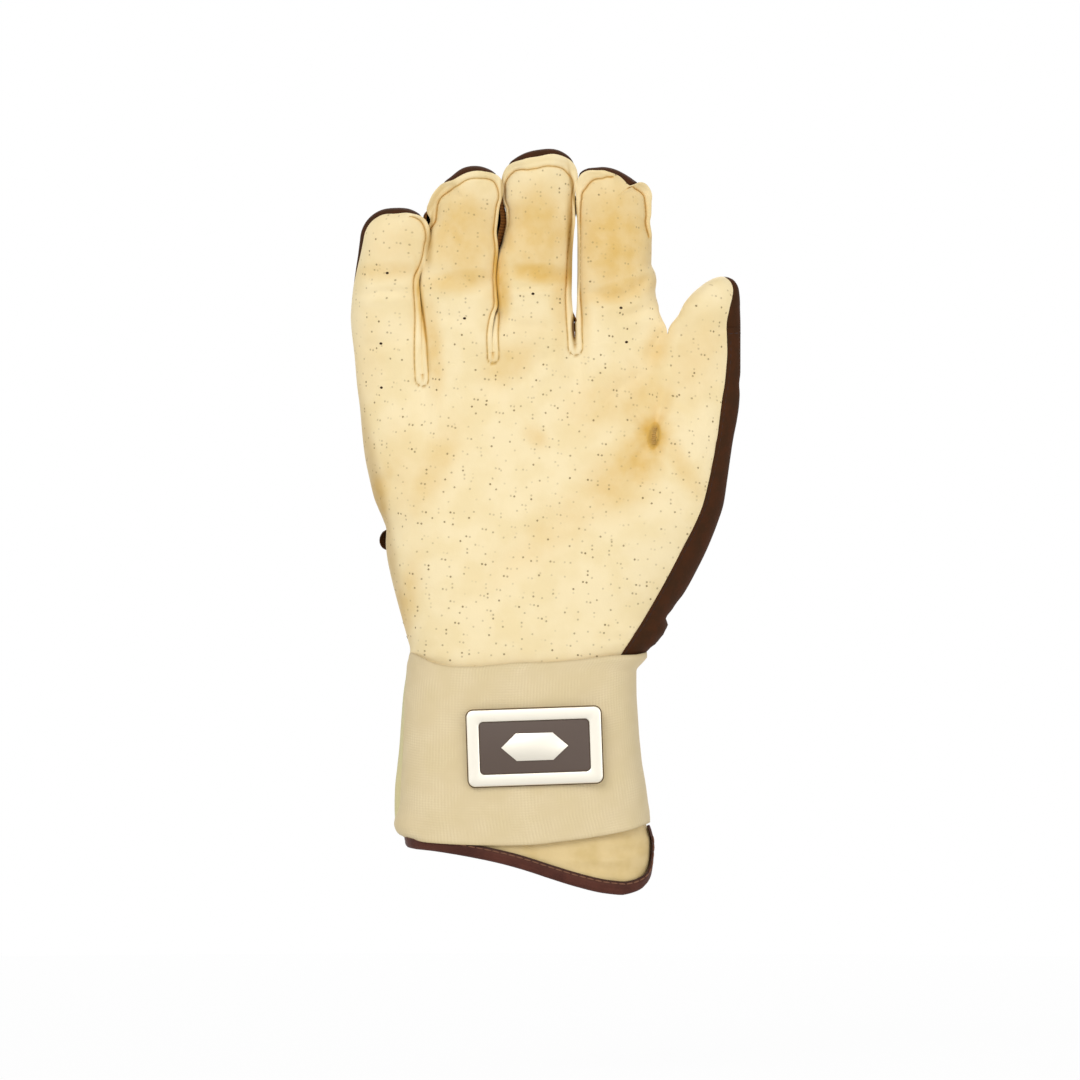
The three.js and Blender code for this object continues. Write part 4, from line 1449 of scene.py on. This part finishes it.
def add_knuckle_panel(fabric):
    def flex_point(u, v):
        angle = behind(lerp(26, 136, u))
        z = lerp(138, 152, v)
        raised = smooth(min(u, 1 - u), 0, 0.02) * smooth(min(v, 1 - v), 0, 0.07)
        rib = 0.3 * math.cos(14 * math.pi * v)
        x, y, _ = hand_point(angle, z, 0.1 + (0.8 + rib) * raised)
        return (x, y + back_height(x, z), z)

    flex = skin("knuckle_stretch_panel", 110, 84, flex_point, fabric, BACK_SIDE, thickness=1.6)
    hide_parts("knuckle_flex_panel")
    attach(flex, "hand")


def add_wrist_elastic(elastic):
    def inner_point(u, v):
        return hand_point(behind(lerp(30, 150, u)), lerp(84, 90, v), -2.2)

    inner = skin("wrist_gathering_elastic", 100, 12, inner_point, elastic, BACK_SIDE, thickness=1.0)
    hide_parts("wrist_elastic")
    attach(inner, "hand")


def add_bar_tack(thread):
    """Nine short stitches across the fold beside the thumb's crotch."""
    surface = surface_of("palm_leather_skin")
    bm = bmesh.new()
    for k in range(9):
        up = k * 0.62 - 2.5
        x = BAR_TACK[0] + BAR_TACK_SLANT * up + 0.12 * math.sin(k * 2.4)
        z = BAR_TACK[1] + up
        y = front_y(surface, x, z) - 0.25
        add_stitch(bm, Vector((x - 0.55, y, z)), Vector((x + 0.55, y, z + 0.2)), 0.3)
    tack = piece_from(bm, "palm_bar_tack_thread", thread)
    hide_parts("palm_bar_tack")
    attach(tack, "hand")


def add_back_seams(thread):
    """Stitches of the seam across the back at the foot of the fingers."""
    last = len(BACK_COLUMNS) - 1
    points = [Vector(back_point(k / last, 0.982)[:3]) + Vector((0, 0.05, 0)) for k in range(last + 1)]
    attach(add_seam("back_crease_stitches", points, thread, pitch=2.6, gap=0.8, radius=0.2), "hand")


def surface_of(piece_name):
    bm = bmesh.new()
    bm.from_mesh(bpy.data.objects[piece_name].data)
    tree = BVHTree.FromBMesh(bm)
    bm.free()
    return tree


def front_y(surface, x, z):
    """Where a line from the front meets a piece."""
    spot = surface.ray_cast(Vector((x, -100, z)) * MM, Vector((0, 1, 0)))[0]
    return spot.y / MM


def add_seam(name, points, thread, pitch=2.15, gap=0.6, radius=0.11):
    """A row of stitches along a path, which stand a little out of their groove."""
    bm = bmesh.new()
    travelled, due = 0.0, 0.0
    start = None
    for here, ahead in zip(points, points[1:]):
        step = (ahead - here).length
        while step > 0 and travelled + step >= due:
            spot = here.lerp(ahead, (due - travelled) / step)
            if start is None:
                start = spot
                due += pitch - gap
            else:
                add_stitch(bm, start, spot, radius)
                start = None
                due += gap
        travelled += step
    seam = piece_from(bm, name, thread)
    return seam


# Stretches of the finger seams that show stitches, as places along the outline
STITCHED = (
    ("little", 0.55, 1), ("ring", 0, 0.14), ("ring", 0.295, 1), ("middle", 0, 0.09), ("middle", 0.26, 1),
    ("index", 0, 0.495), ("index", 0.592, 0.74),
)


def add_finger_seams(thread):
    """Stitches in the groove inside each finger's rim."""
    steps = 240
    groove = RIM_COLUMNS / HALF_COLUMNS
    for number, (name, first, last) in enumerate(STITCHED, 1):
        points = []
        for k in range(steps + 1):
            x, y, z, *_ = finger_front(FINGERS[name], lerp(first, last, k / steps), groove)
            points.append(Vector((x, y - 0.1, z)))
        bend_with(add_seam(f"{name}_front_stitches_{number}", points, thread), name)


def add_welt_seams(thread):
    """Stitches down one side of each welt, round its foot and up its other side."""
    surface = surface_of("palm_leather_skin")
    steps = 12
    for number, (place, _, left, right, foot) in enumerate(WELTS, 1):
        route = [(place - left, base_height(place - left) - 0.5), (place - left, foot + left)]
        for k in range(1, steps + 1):
            turn = math.pi * k / steps
            half = left if turn < math.pi / 2 else right
            route.append((place - half * math.cos(turn), foot + half - half * math.sin(turn)))
        route.append((place + right, base_height(place + right) - 0.5))
        points = [Vector((x, front_y(surface, x, z) - 0.15, z)) for x, z in route]
        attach(add_seam(f"palm_welt_stitches_{number}", points, thread), "hand")


def add_binding_seam(thread):
    points = []
    steps = 400
    for k in range(steps + 1):
        u = lerp(0.02, 0.98, k / steps)
        x, y, z, _ = binding_point(u, 0.11)
        around = rim_path(u)[0]
        points.append(Vector((x + 0.15 * math.cos(around), y - 0.15 * math.sin(around), z)))
    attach(add_seam("cuff_binding_stitches", points, thread, pitch=2.7, gap=0.7, radius=0.28), "hand")


def add_side_seam(thread):
    """Stitches on the palm side of the seam between palm and back at the thumb."""
    points = []
    steps = 120
    for k in range(steps + 1):
        z = lerp(78, 184, k / steps)
        points.append(Vector(hand_point(angle_at(thumb_seam(z) + 1.1, z), z, 0.1)))
    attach(add_seam("thumb_side_seam_stitches", points, thread, radius=0.16), "hand")


# Perforations that stand open: place across, height and the finger that they lie on
OPEN_HOLES = (
    (-46.9, 204.9, "little"), (-49.0, 181.8, "little"), (-48.8, 167.3, None), (-21.5, 190.0, "ring"),
    (1.0, 198.0, "middle"), (29.9, 193.4, "index"), (31.7, 182.2, None),
)


# Each open hole is a flat dark lens laid on the leather, painted shade for the glove's dark inside seen
# through it
def add_open_holes(lining):
    for number, (x, z, name) in enumerate(OPEN_HOLES, 1):
        surface = surface_of(f"{name}_front_leather" if name else "palm_leather_skin")
        bm = bmesh.new()
        place = Matrix.Translation((x, front_y(surface, x, z), z)) @ Matrix.Diagonal((0.55, 0.16, 0.42, 1))
        bmesh.ops.create_uvsphere(bm, u_segments=12, v_segments=8, radius=1, matrix=place)
        hole = piece_from(bm, f"open_hole_{number}", lining)
        if name:
            bend_with(hole, name)
        else:
            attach(hole, "hand")


def add_stitch(bm, start, end, radius):
    along = end - start
    turn = Vector((0, 0, 1)).rotation_difference(along.normalized()).to_matrix().to_4x4()
    size = Matrix.Diagonal((radius, radius, along.length / 2 + radius, 1))
    place = Matrix.Translation((start + end) / 2) @ turn @ size
    bmesh.ops.create_uvsphere(bm, u_segments=6, v_segments=4, radius=1, matrix=place)


# Materials


def linear(red, green, blue):
    """A colour given in the 0 to 255 steps of a screen, as linear light."""
    def one(value):
        share = value / 255
        return share / 12.92 if share <= 0.04045 else ((share + 0.055) / 1.055) ** 2.4

    return one(red), one(green), one(blue)


class Finish:
    """A material with a shader, and short ways to lay patterns over it."""

    def __init__(self, name, colour, roughness, metallic=0.0, sheen=0.0, specular=0.4):
        self.material = bpy.data.materials.new(name)
        self.material.use_nodes = True
        self.tree = self.material.node_tree
        self.shader = self.tree.nodes["Principled BSDF"]
        self.shader.inputs["Base Color"].default_value = (*linear(*colour), 1)
        self.shader.inputs["Roughness"].default_value = roughness
        self.shader.inputs["Metallic"].default_value = metallic
        self.shader.inputs["Sheen Weight"].default_value = sheen
        self.shader.inputs["Specular IOR Level"].default_value = specular

    def feed(self, socket, value):
        if isinstance(value, bpy.types.NodeSocket):
            self.tree.links.new(value, socket)
        elif isinstance(value, tuple) and len(value) == 3 and len(socket.default_value) == 4:
            socket.default_value = (*value, 1)
        else:
            socket.default_value = value

    def layer(self, name, output="Fac"):
        node = self.tree.nodes.new("ShaderNodeAttribute")
        node.attribute_name = name
        return node.outputs[output]

    def placed(self, vector, shift=(0, 0, 0), turn=0.0):
        node = self.tree.nodes.new("ShaderNodeMapping")
        self.feed(node.inputs["Vector"], vector)
        node.inputs["Location"].default_value = [value * MM for value in shift]
        node.inputs["Rotation"].default_value = (0, 0, math.radians(turn))
        return node.outputs["Vector"]

    def speckle(self, vector, size, detail=2.0):
        """Soft noise whose patches are about this many millimetres wide."""
        node = self.tree.nodes.new("ShaderNodeTexNoise")
        self.feed(node.inputs["Vector"], vector)
        node.inputs["Scale"].default_value = 1 / (size * MM)
        node.inputs["Detail"].default_value = detail
        return node.outputs["Fac"]

    def cells(self, vector, size, randomness=1.0):
        node = self.tree.nodes.new("ShaderNodeTexVoronoi")
        node.voronoi_dimensions = "2D"
        self.feed(node.inputs["Vector"], vector)
        node.inputs["Scale"].default_value = 1 / (size * MM)
        node.inputs["Randomness"].default_value = randomness
        return node.outputs["Distance"], node.outputs["Color"]

    def ribs(self, vector, pitch, direction, wobble=0.6):
        node = self.tree.nodes.new("ShaderNodeTexWave")
        node.bands_direction = direction
        self.feed(node.inputs["Vector"], vector)
        node.inputs["Scale"].default_value = math.pi / 10 / (pitch * MM)
        node.inputs["Distortion"].default_value = wobble
        node.inputs["Detail"].default_value = 1.0
        return node.outputs["Fac"]

    def ramp(self, value, low, high, start=0.0, end=1.0):
        node = self.tree.nodes.new("ShaderNodeMapRange")
        node.interpolation_type = "SMOOTHSTEP"
        for name, setting in (("From Min", low), ("From Max", high), ("To Min", start), ("To Max", end)):
            node.inputs[name].default_value = setting
        self.feed(node.inputs["Value"], value)
        return node.outputs["Result"]

    def combine(self, operation, first, second):
        node = self.tree.nodes.new("ShaderNodeMath")
        node.operation = operation
        self.feed(node.inputs[0], first)
        self.feed(node.inputs[1], second)
        return node.outputs[0]

    def part(self, colour, channel):
        node = self.tree.nodes.new("ShaderNodeSeparateColor")
        self.feed(node.inputs["Color"], colour)
        return node.outputs[channel]

    def mix(self, share, first, second):
        """A mix of two colours, whose sockets are the node's seventh and eighth."""
        node = self.tree.nodes.new("ShaderNodeMix")
        node.data_type = "RGBA"
        self.feed(node.inputs[0], share)
        self.feed(node.inputs[6], first)
        self.feed(node.inputs[7], second)
        return node.outputs[2]

    def colour(self, value):
        self.feed(self.shader.inputs["Base Color"], value)

    def relief(self, height, depth, strength=0.6):
        """A fine relief this many millimetres deep."""
        node = self.tree.nodes.new("ShaderNodeBump")
        node.inputs["Distance"].default_value = depth * MM
        node.inputs["Strength"].default_value = strength
        self.feed(node.inputs["Height"], height)
        self.feed(self.shader.inputs["Normal"], node.outputs["Normal"])


HOLE_PITCH = 4.1
HOLE_RADIUS = 0.3


# Layers of holes: shift from the first, the channel that chooses among them, and the share left out
HOLE_LAYERS = (((0, 0, 0), "Green", 0), ((1.15, 0.3, 0), "Red", 0.72), ((-0.5, 1.15, 0), "Blue", 0.76))


def perforations(finish, flat):
    """Scattered fine holes, some of them in pairs."""
    near, far = 0.6 * HOLE_RADIUS / HOLE_PITCH, 1.5 * HOLE_RADIUS / HOLE_PITCH
    holes = None
    for shift, channel, rare in HOLE_LAYERS:
        distance, colour = finish.cells(finish.placed(flat, shift, 24), HOLE_PITCH, 0.95)
        dots = finish.ramp(distance, far, near)
        strength = finish.ramp(finish.part(colour, channel), rare, 1.0, 0.25 if rare == 0 else 0.0, 0.95)
        uneven = finish.ramp(finish.speckle(flat, 7, 1.0), 0.35, 0.65, 0.35, 1.0)
        dots = finish.combine("MULTIPLY", dots, finish.combine("MULTIPLY", strength, uneven))
        holes = dots if holes is None else finish.combine("MAXIMUM", holes, dots)
    return holes


def leather_grain(finish, flat):
    grain = finish.speckle(flat, 0.5, 4.0)
    creases = finish.cells(flat, 0.9)[0]
    return finish.combine("ADD", grain, finish.combine("MULTIPLY", creases, 0.5))


def perforated_leather():
    finish = Finish("perforated_palm_leather", (252, 232, 182), 0.62, sheen=0.05)
    flat = finish.layer("flat", "Vector")
    amber = finish.layer("amber")
    shade = finish.layer("shade")
    cream = finish.mix(
        finish.ramp(finish.speckle(flat, 13, 3.0), 0.38, 0.66), linear(253, 234, 188), linear(248, 227, 176))
    cloud = finish.ramp(finish.speckle(flat, 6, 3.0), 0.3, 0.7, 0.8, 1.15)
    # The amber layer carries amber patches and painted shade alike
    tint_and_shade = finish.combine("MULTIPLY", amber, cloud)
    tinted_and_shaded = finish.mix(tint_and_shade, cream, linear(227, 183, 90))
    holes = perforations(finish, flat)
    open_share = finish.combine("SUBTRACT", finish.ramp(amber, 0.1, 0.8, 1.0, 0.4), finish.layer("whole"))
    holes = finish.combine("MULTIPLY", holes, finish.ramp(open_share, 0.0, 1.0))
    # The holes are painted as dark dots, the shade inside them
    pierced = finish.mix(holes, tinted_and_shaded, linear(130, 108, 62))
    # Painted shade from the shade layer: amber brown along grooves, folds and SHADES, and dark brown where it
    # is strongest, in the shadowed gaps between the fingers
    dimmed = finish.mix(finish.combine("MULTIPLY", shade, 0.55), pierced, linear(150, 111, 38))
    finish.colour(finish.mix(finish.ramp(shade, 1.1, 2.0, 0.0, 0.85), dimmed, linear(78, 48, 14)))
    grain = finish.combine("MULTIPLY", leather_grain(finish, flat), 0.16)
    finish.relief(finish.combine("SUBTRACT", grain, holes), 0.3)
    return finish.material


def smooth_leather(name, light, dark, roughness, specular=0.35):
    finish = Finish(name, light, roughness, specular=specular)
    flat = finish.layer("flat", "Vector")
    patches = finish.ramp(finish.speckle(flat, 9, 3.0), 0.35, 0.7)
    # Painted shade from the shade layer, towards dark brown
    dimmed = finish.combine("MULTIPLY", finish.layer("shade"), 0.75)
    finish.colour(finish.mix(dimmed, finish.mix(patches, linear(*light), linear(*dark)), linear(52, 34, 20)))
    finish.relief(leather_grain(finish, flat), 0.05)
    return finish.material


def netted_leather():
    """Brown leather of the back, with a net over it near the wrist."""
    finish = Finish("brown_back_leather", (66, 34, 18), 0.8, specular=0.12)
    flat = finish.layer("flat", "Vector")
    net = finish.layer("shade")
    patches = finish.ramp(finish.speckle(flat, 5, 3.0), 0.35, 0.65)
    brown = finish.mix(patches, linear(74, 41, 19), linear(65, 39, 19))
    distance, colour = finish.cells(flat, 1.3, 0.5)
    specks = finish.ramp(distance, 0.22, 0.1)
    bright = finish.ramp(finish.part(colour, "Red"), 0.45, 0.95)
    gold = finish.combine("MULTIPLY", finish.combine("MULTIPLY", specks, bright), net)
    finish.colour(finish.mix(gold, brown, linear(118, 86, 44)))
    weave = finish.combine("ADD", finish.ribs(flat, 0.8, "X"), finish.ribs(flat, 0.8, "Y"))
    height = finish.combine("ADD", leather_grain(finish, flat), finish.combine("MULTIPLY", weave, net))
    finish.relief(height, 0.08)
    return finish.material


def knitted_fabric():
    finish = Finish("brown_gusset_fabric", (100, 64, 32), 0.9, specular=0.08)
    flat = finish.layer("flat", "Vector")
    rows = finish.ribs(flat, 1.0, "Y", 1.2)
    finish.colour(finish.mix(rows, linear(92, 56, 26), linear(122, 80, 38)))
    finish.relief(rows, 0.12)
    return finish.material


def woven_elastic_finish(name, light, dark):
    """Elastic with ribs up its width and finer threads along it."""
    finish = Finish(name, light, 0.85, sheen=0.1, specular=0.25)
    flat = finish.layer("flat", "Vector")
    faded = finish.ramp(finish.speckle(flat, 9), 0.38, 0.64, 0.15, 1.0)
    up = finish.combine("MULTIPLY", finish.ribs(flat, 1.0, "X", 0.9), faded)
    along = finish.ribs(flat, 0.85, "Y", 1.2)
    threads = finish.combine("MULTIPLY", along, finish.ramp(finish.speckle(flat, 15), 0.45, 0.65, 0.1, 0.8))
    weave = finish.combine("MULTIPLY", finish.combine("ADD", up, threads), 0.55)
    worn = finish.ramp(finish.speckle(flat, 11, 3.0), 0.35, 0.7, 0.0, 0.35)
    cloth = finish.mix(weave, linear(*dark), linear(*light))
    aged = finish.mix(worn, cloth, linear(222, 202, 152))
    # Painted shade along the edges, from the shade layer
    finish.colour(finish.mix(finish.layer("shade"), aged, linear(176, 152, 106)))
    finish.relief(weave, 0.14)
    return finish.material


def hook_and_loop_finish():
    finish = Finish("hook_and_loop", (216, 198, 154), 0.95, sheen=0.3, specular=0.2)
    flat = finish.layer("flat", "Vector")
    fuzz = finish.speckle(flat, 0.6, 4.0)
    finish.colour(finish.mix(finish.ramp(fuzz, 0.35, 0.65), linear(190, 170, 126), linear(226, 210, 168)))
    finish.relief(fuzz, 0.4)
    return finish.material


def plain(name, colour, roughness, **more):
    return Finish(name, colour, roughness, **more).material


leather = perforated_leather()
cuff_leather = smooth_leather("cuff_leather", (234, 208, 152), (223, 195, 134), 0.5)
brown_leather = netted_leather()
brown_fabric = knitted_fabric()
tape_leather = smooth_leather("red_brown_binding_leather", (90, 48, 36), (72, 36, 27), 0.55, specular=0.2)
woven_elastic = woven_elastic_finish("woven_elastic", (240, 222, 182), (229, 209, 167))
# A greener copy of the woven elastic for the strip at the strap's side: its painted light and shade
edge_elastic = woven_elastic_finish("pale_edge_elastic", (228, 222, 176), (216, 208, 160))
hook_tape = hook_and_loop_finish()
pale_metal = plain("pale_badge_metal", (247, 241, 226), 0.34, metallic=1.0)
dark_panel = plain("dark_badge_panel", (93, 78, 69), 0.5)
badge_backing = plain("badge_backing_plate", (92, 70, 42), 0.6)
amber_thread = plain("amber_thread", (196, 166, 104), 0.7)
binding_thread = plain("red_brown_thread", (122, 80, 58), 0.7)
tack_thread = plain("bar_tack_thread", (196, 156, 84), 0.7)
dark_thread = plain("dark_brown_thread", (52, 28, 20), 0.7)
hole_shadow = plain("dark_hole", (58, 40, 22), 0.9)

add_palm(leather)
add_back(brown_leather)
for each_finger in FINGERS.values():
    add_finger_front(each_finger, leather)
    add_finger_back(each_finger, brown_leather)
add_gussets(brown_fabric, leather)
add_cuff(cuff_leather)
add_binding(tape_leather)
add_strap_band(woven_elastic)
add_strap_tab(woven_elastic)
add_tab_lining(edge_elastic)
add_pull_tab(tape_leather)
add_tapes(hook_tape)
add_badge_frame(pale_metal)
add_badge_backing(badge_backing)
add_badge_panel(dark_panel)
add_badge_bar(pale_metal)
add_knuckle_panel(brown_fabric)
add_wrist_elastic(woven_elastic)
add_bar_tack(tack_thread)
add_finger_seams(amber_thread)
add_welt_seams(amber_thread)
add_binding_seam(binding_thread)
add_side_seam(dark_thread)
add_back_seams(dark_thread)
add_open_holes(hole_shadow)


# Camera, light and backdrop

VIEW_CENTRE = (3.3, 117.15)
VIEW_WIDTH = 356.4
CAMERA_DISTANCE = 3000
SENSOR = 36


def add_camera():
    data = bpy.data.cameras.new("camera")
    data.sensor_width = SENSOR
    data.lens = SENSOR * CAMERA_DISTANCE / VIEW_WIDTH
    data.clip_end = 20
    camera = bpy.data.objects.new("camera", data)
    camera.location = Vector((VIEW_CENTRE[0], -CAMERA_DISTANCE, VIEW_CENTRE[1])) * MM
    camera.rotation_euler = (math.pi / 2, 0, 0)
    bpy.context.scene.collection.objects.link(camera)
    bpy.context.scene.camera = camera


def add_lamp(name, place, size, power):
    data = bpy.data.lights.new(name, "AREA")
    data.size = size
    data.energy = power
    lamp = bpy.data.objects.new(name, data)
    lamp.location = place
    target = Vector((0.003, 0, 0.12))
    lamp.rotation_euler = (target - lamp.location).to_track_quat("-Z", "Y").to_euler()
    bpy.context.scene.collection.objects.link(lamp)


def add_world():
    world = bpy.data.worlds.new("studio")
    bpy.context.scene.world = world
    world.use_nodes = True
    tree = world.node_tree
    background = tree.nodes["Background"]
    background.inputs["Color"].default_value = (1, 1, 1, 1)
    rays = tree.nodes.new("ShaderNodeLightPath")
    seen = rays.outputs["Is Camera Ray"]
    for name in ("Is Glossy Ray", "Is Transmission Ray"):
        either = tree.nodes.new("ShaderNodeMath")
        either.operation = "MAXIMUM"
        tree.links.new(seen, either.inputs[0])
        tree.links.new(rays.outputs[name], either.inputs[1])
        seen = either.outputs[0]
    strength = tree.nodes.new("ShaderNodeMapRange")
    strength.inputs["To Min"].default_value = 0.5
    strength.inputs["To Max"].default_value = 1.0
    tree.links.new(seen, strength.inputs["Value"])
    tree.links.new(strength.outputs["Result"], background.inputs["Strength"])


def add_floor():
    bm = bmesh.new()
    bmesh.ops.create_circle(bm, cap_ends=True, radius=900, segments=64)
    bmesh.ops.translate(bm, vec=(0, 0, -60), verts=bm.verts)
    mesh = bpy.data.meshes.new("floor")
    bm.to_mesh(mesh)
    bm.free()
    mesh.transform(Matrix.Scale(MM, 4))
    floor = bpy.data.objects.new("floor", mesh)
    bpy.context.scene.collection.objects.link(floor)
    finish = Finish("pale_floor", (243, 243, 243), 0.9)
    tree, shader = finish.tree, finish.shader
    glow = tree.nodes.new("ShaderNodeEmission")
    glow.inputs["Color"].default_value = (1, 1, 1, 1)
    rays = tree.nodes.new("ShaderNodeLightPath")
    blend = tree.nodes.new("ShaderNodeMixShader")
    share = tree.nodes.new("ShaderNodeMath")
    share.operation = "MULTIPLY"
    share.inputs[1].default_value = 0.94
    tree.links.new(rays.outputs["Is Camera Ray"], share.inputs[0])
    tree.links.new(share.outputs[0], blend.inputs["Fac"])
    tree.links.new(shader.outputs["BSDF"], blend.inputs[1])
    tree.links.new(glow.outputs["Emission"], blend.inputs[2])
    tree.links.new(blend.outputs["Shader"], tree.nodes["Material Output"].inputs["Surface"])
    mesh.materials.append(finish.material)


add_camera()
add_lamp("key_lamp", (-0.6, -1.4, 1.0), 0.9, 10.7)
add_lamp("fill_lamp", (1.1, -1.3, 0.3), 1.0, 4.8)
add_lamp("back_lamp", (0.2, 1.4, 0.9), 1.0, 8)
add_world()
add_floor()
bpy.context.scene.view_settings.view_transform = "Standard"
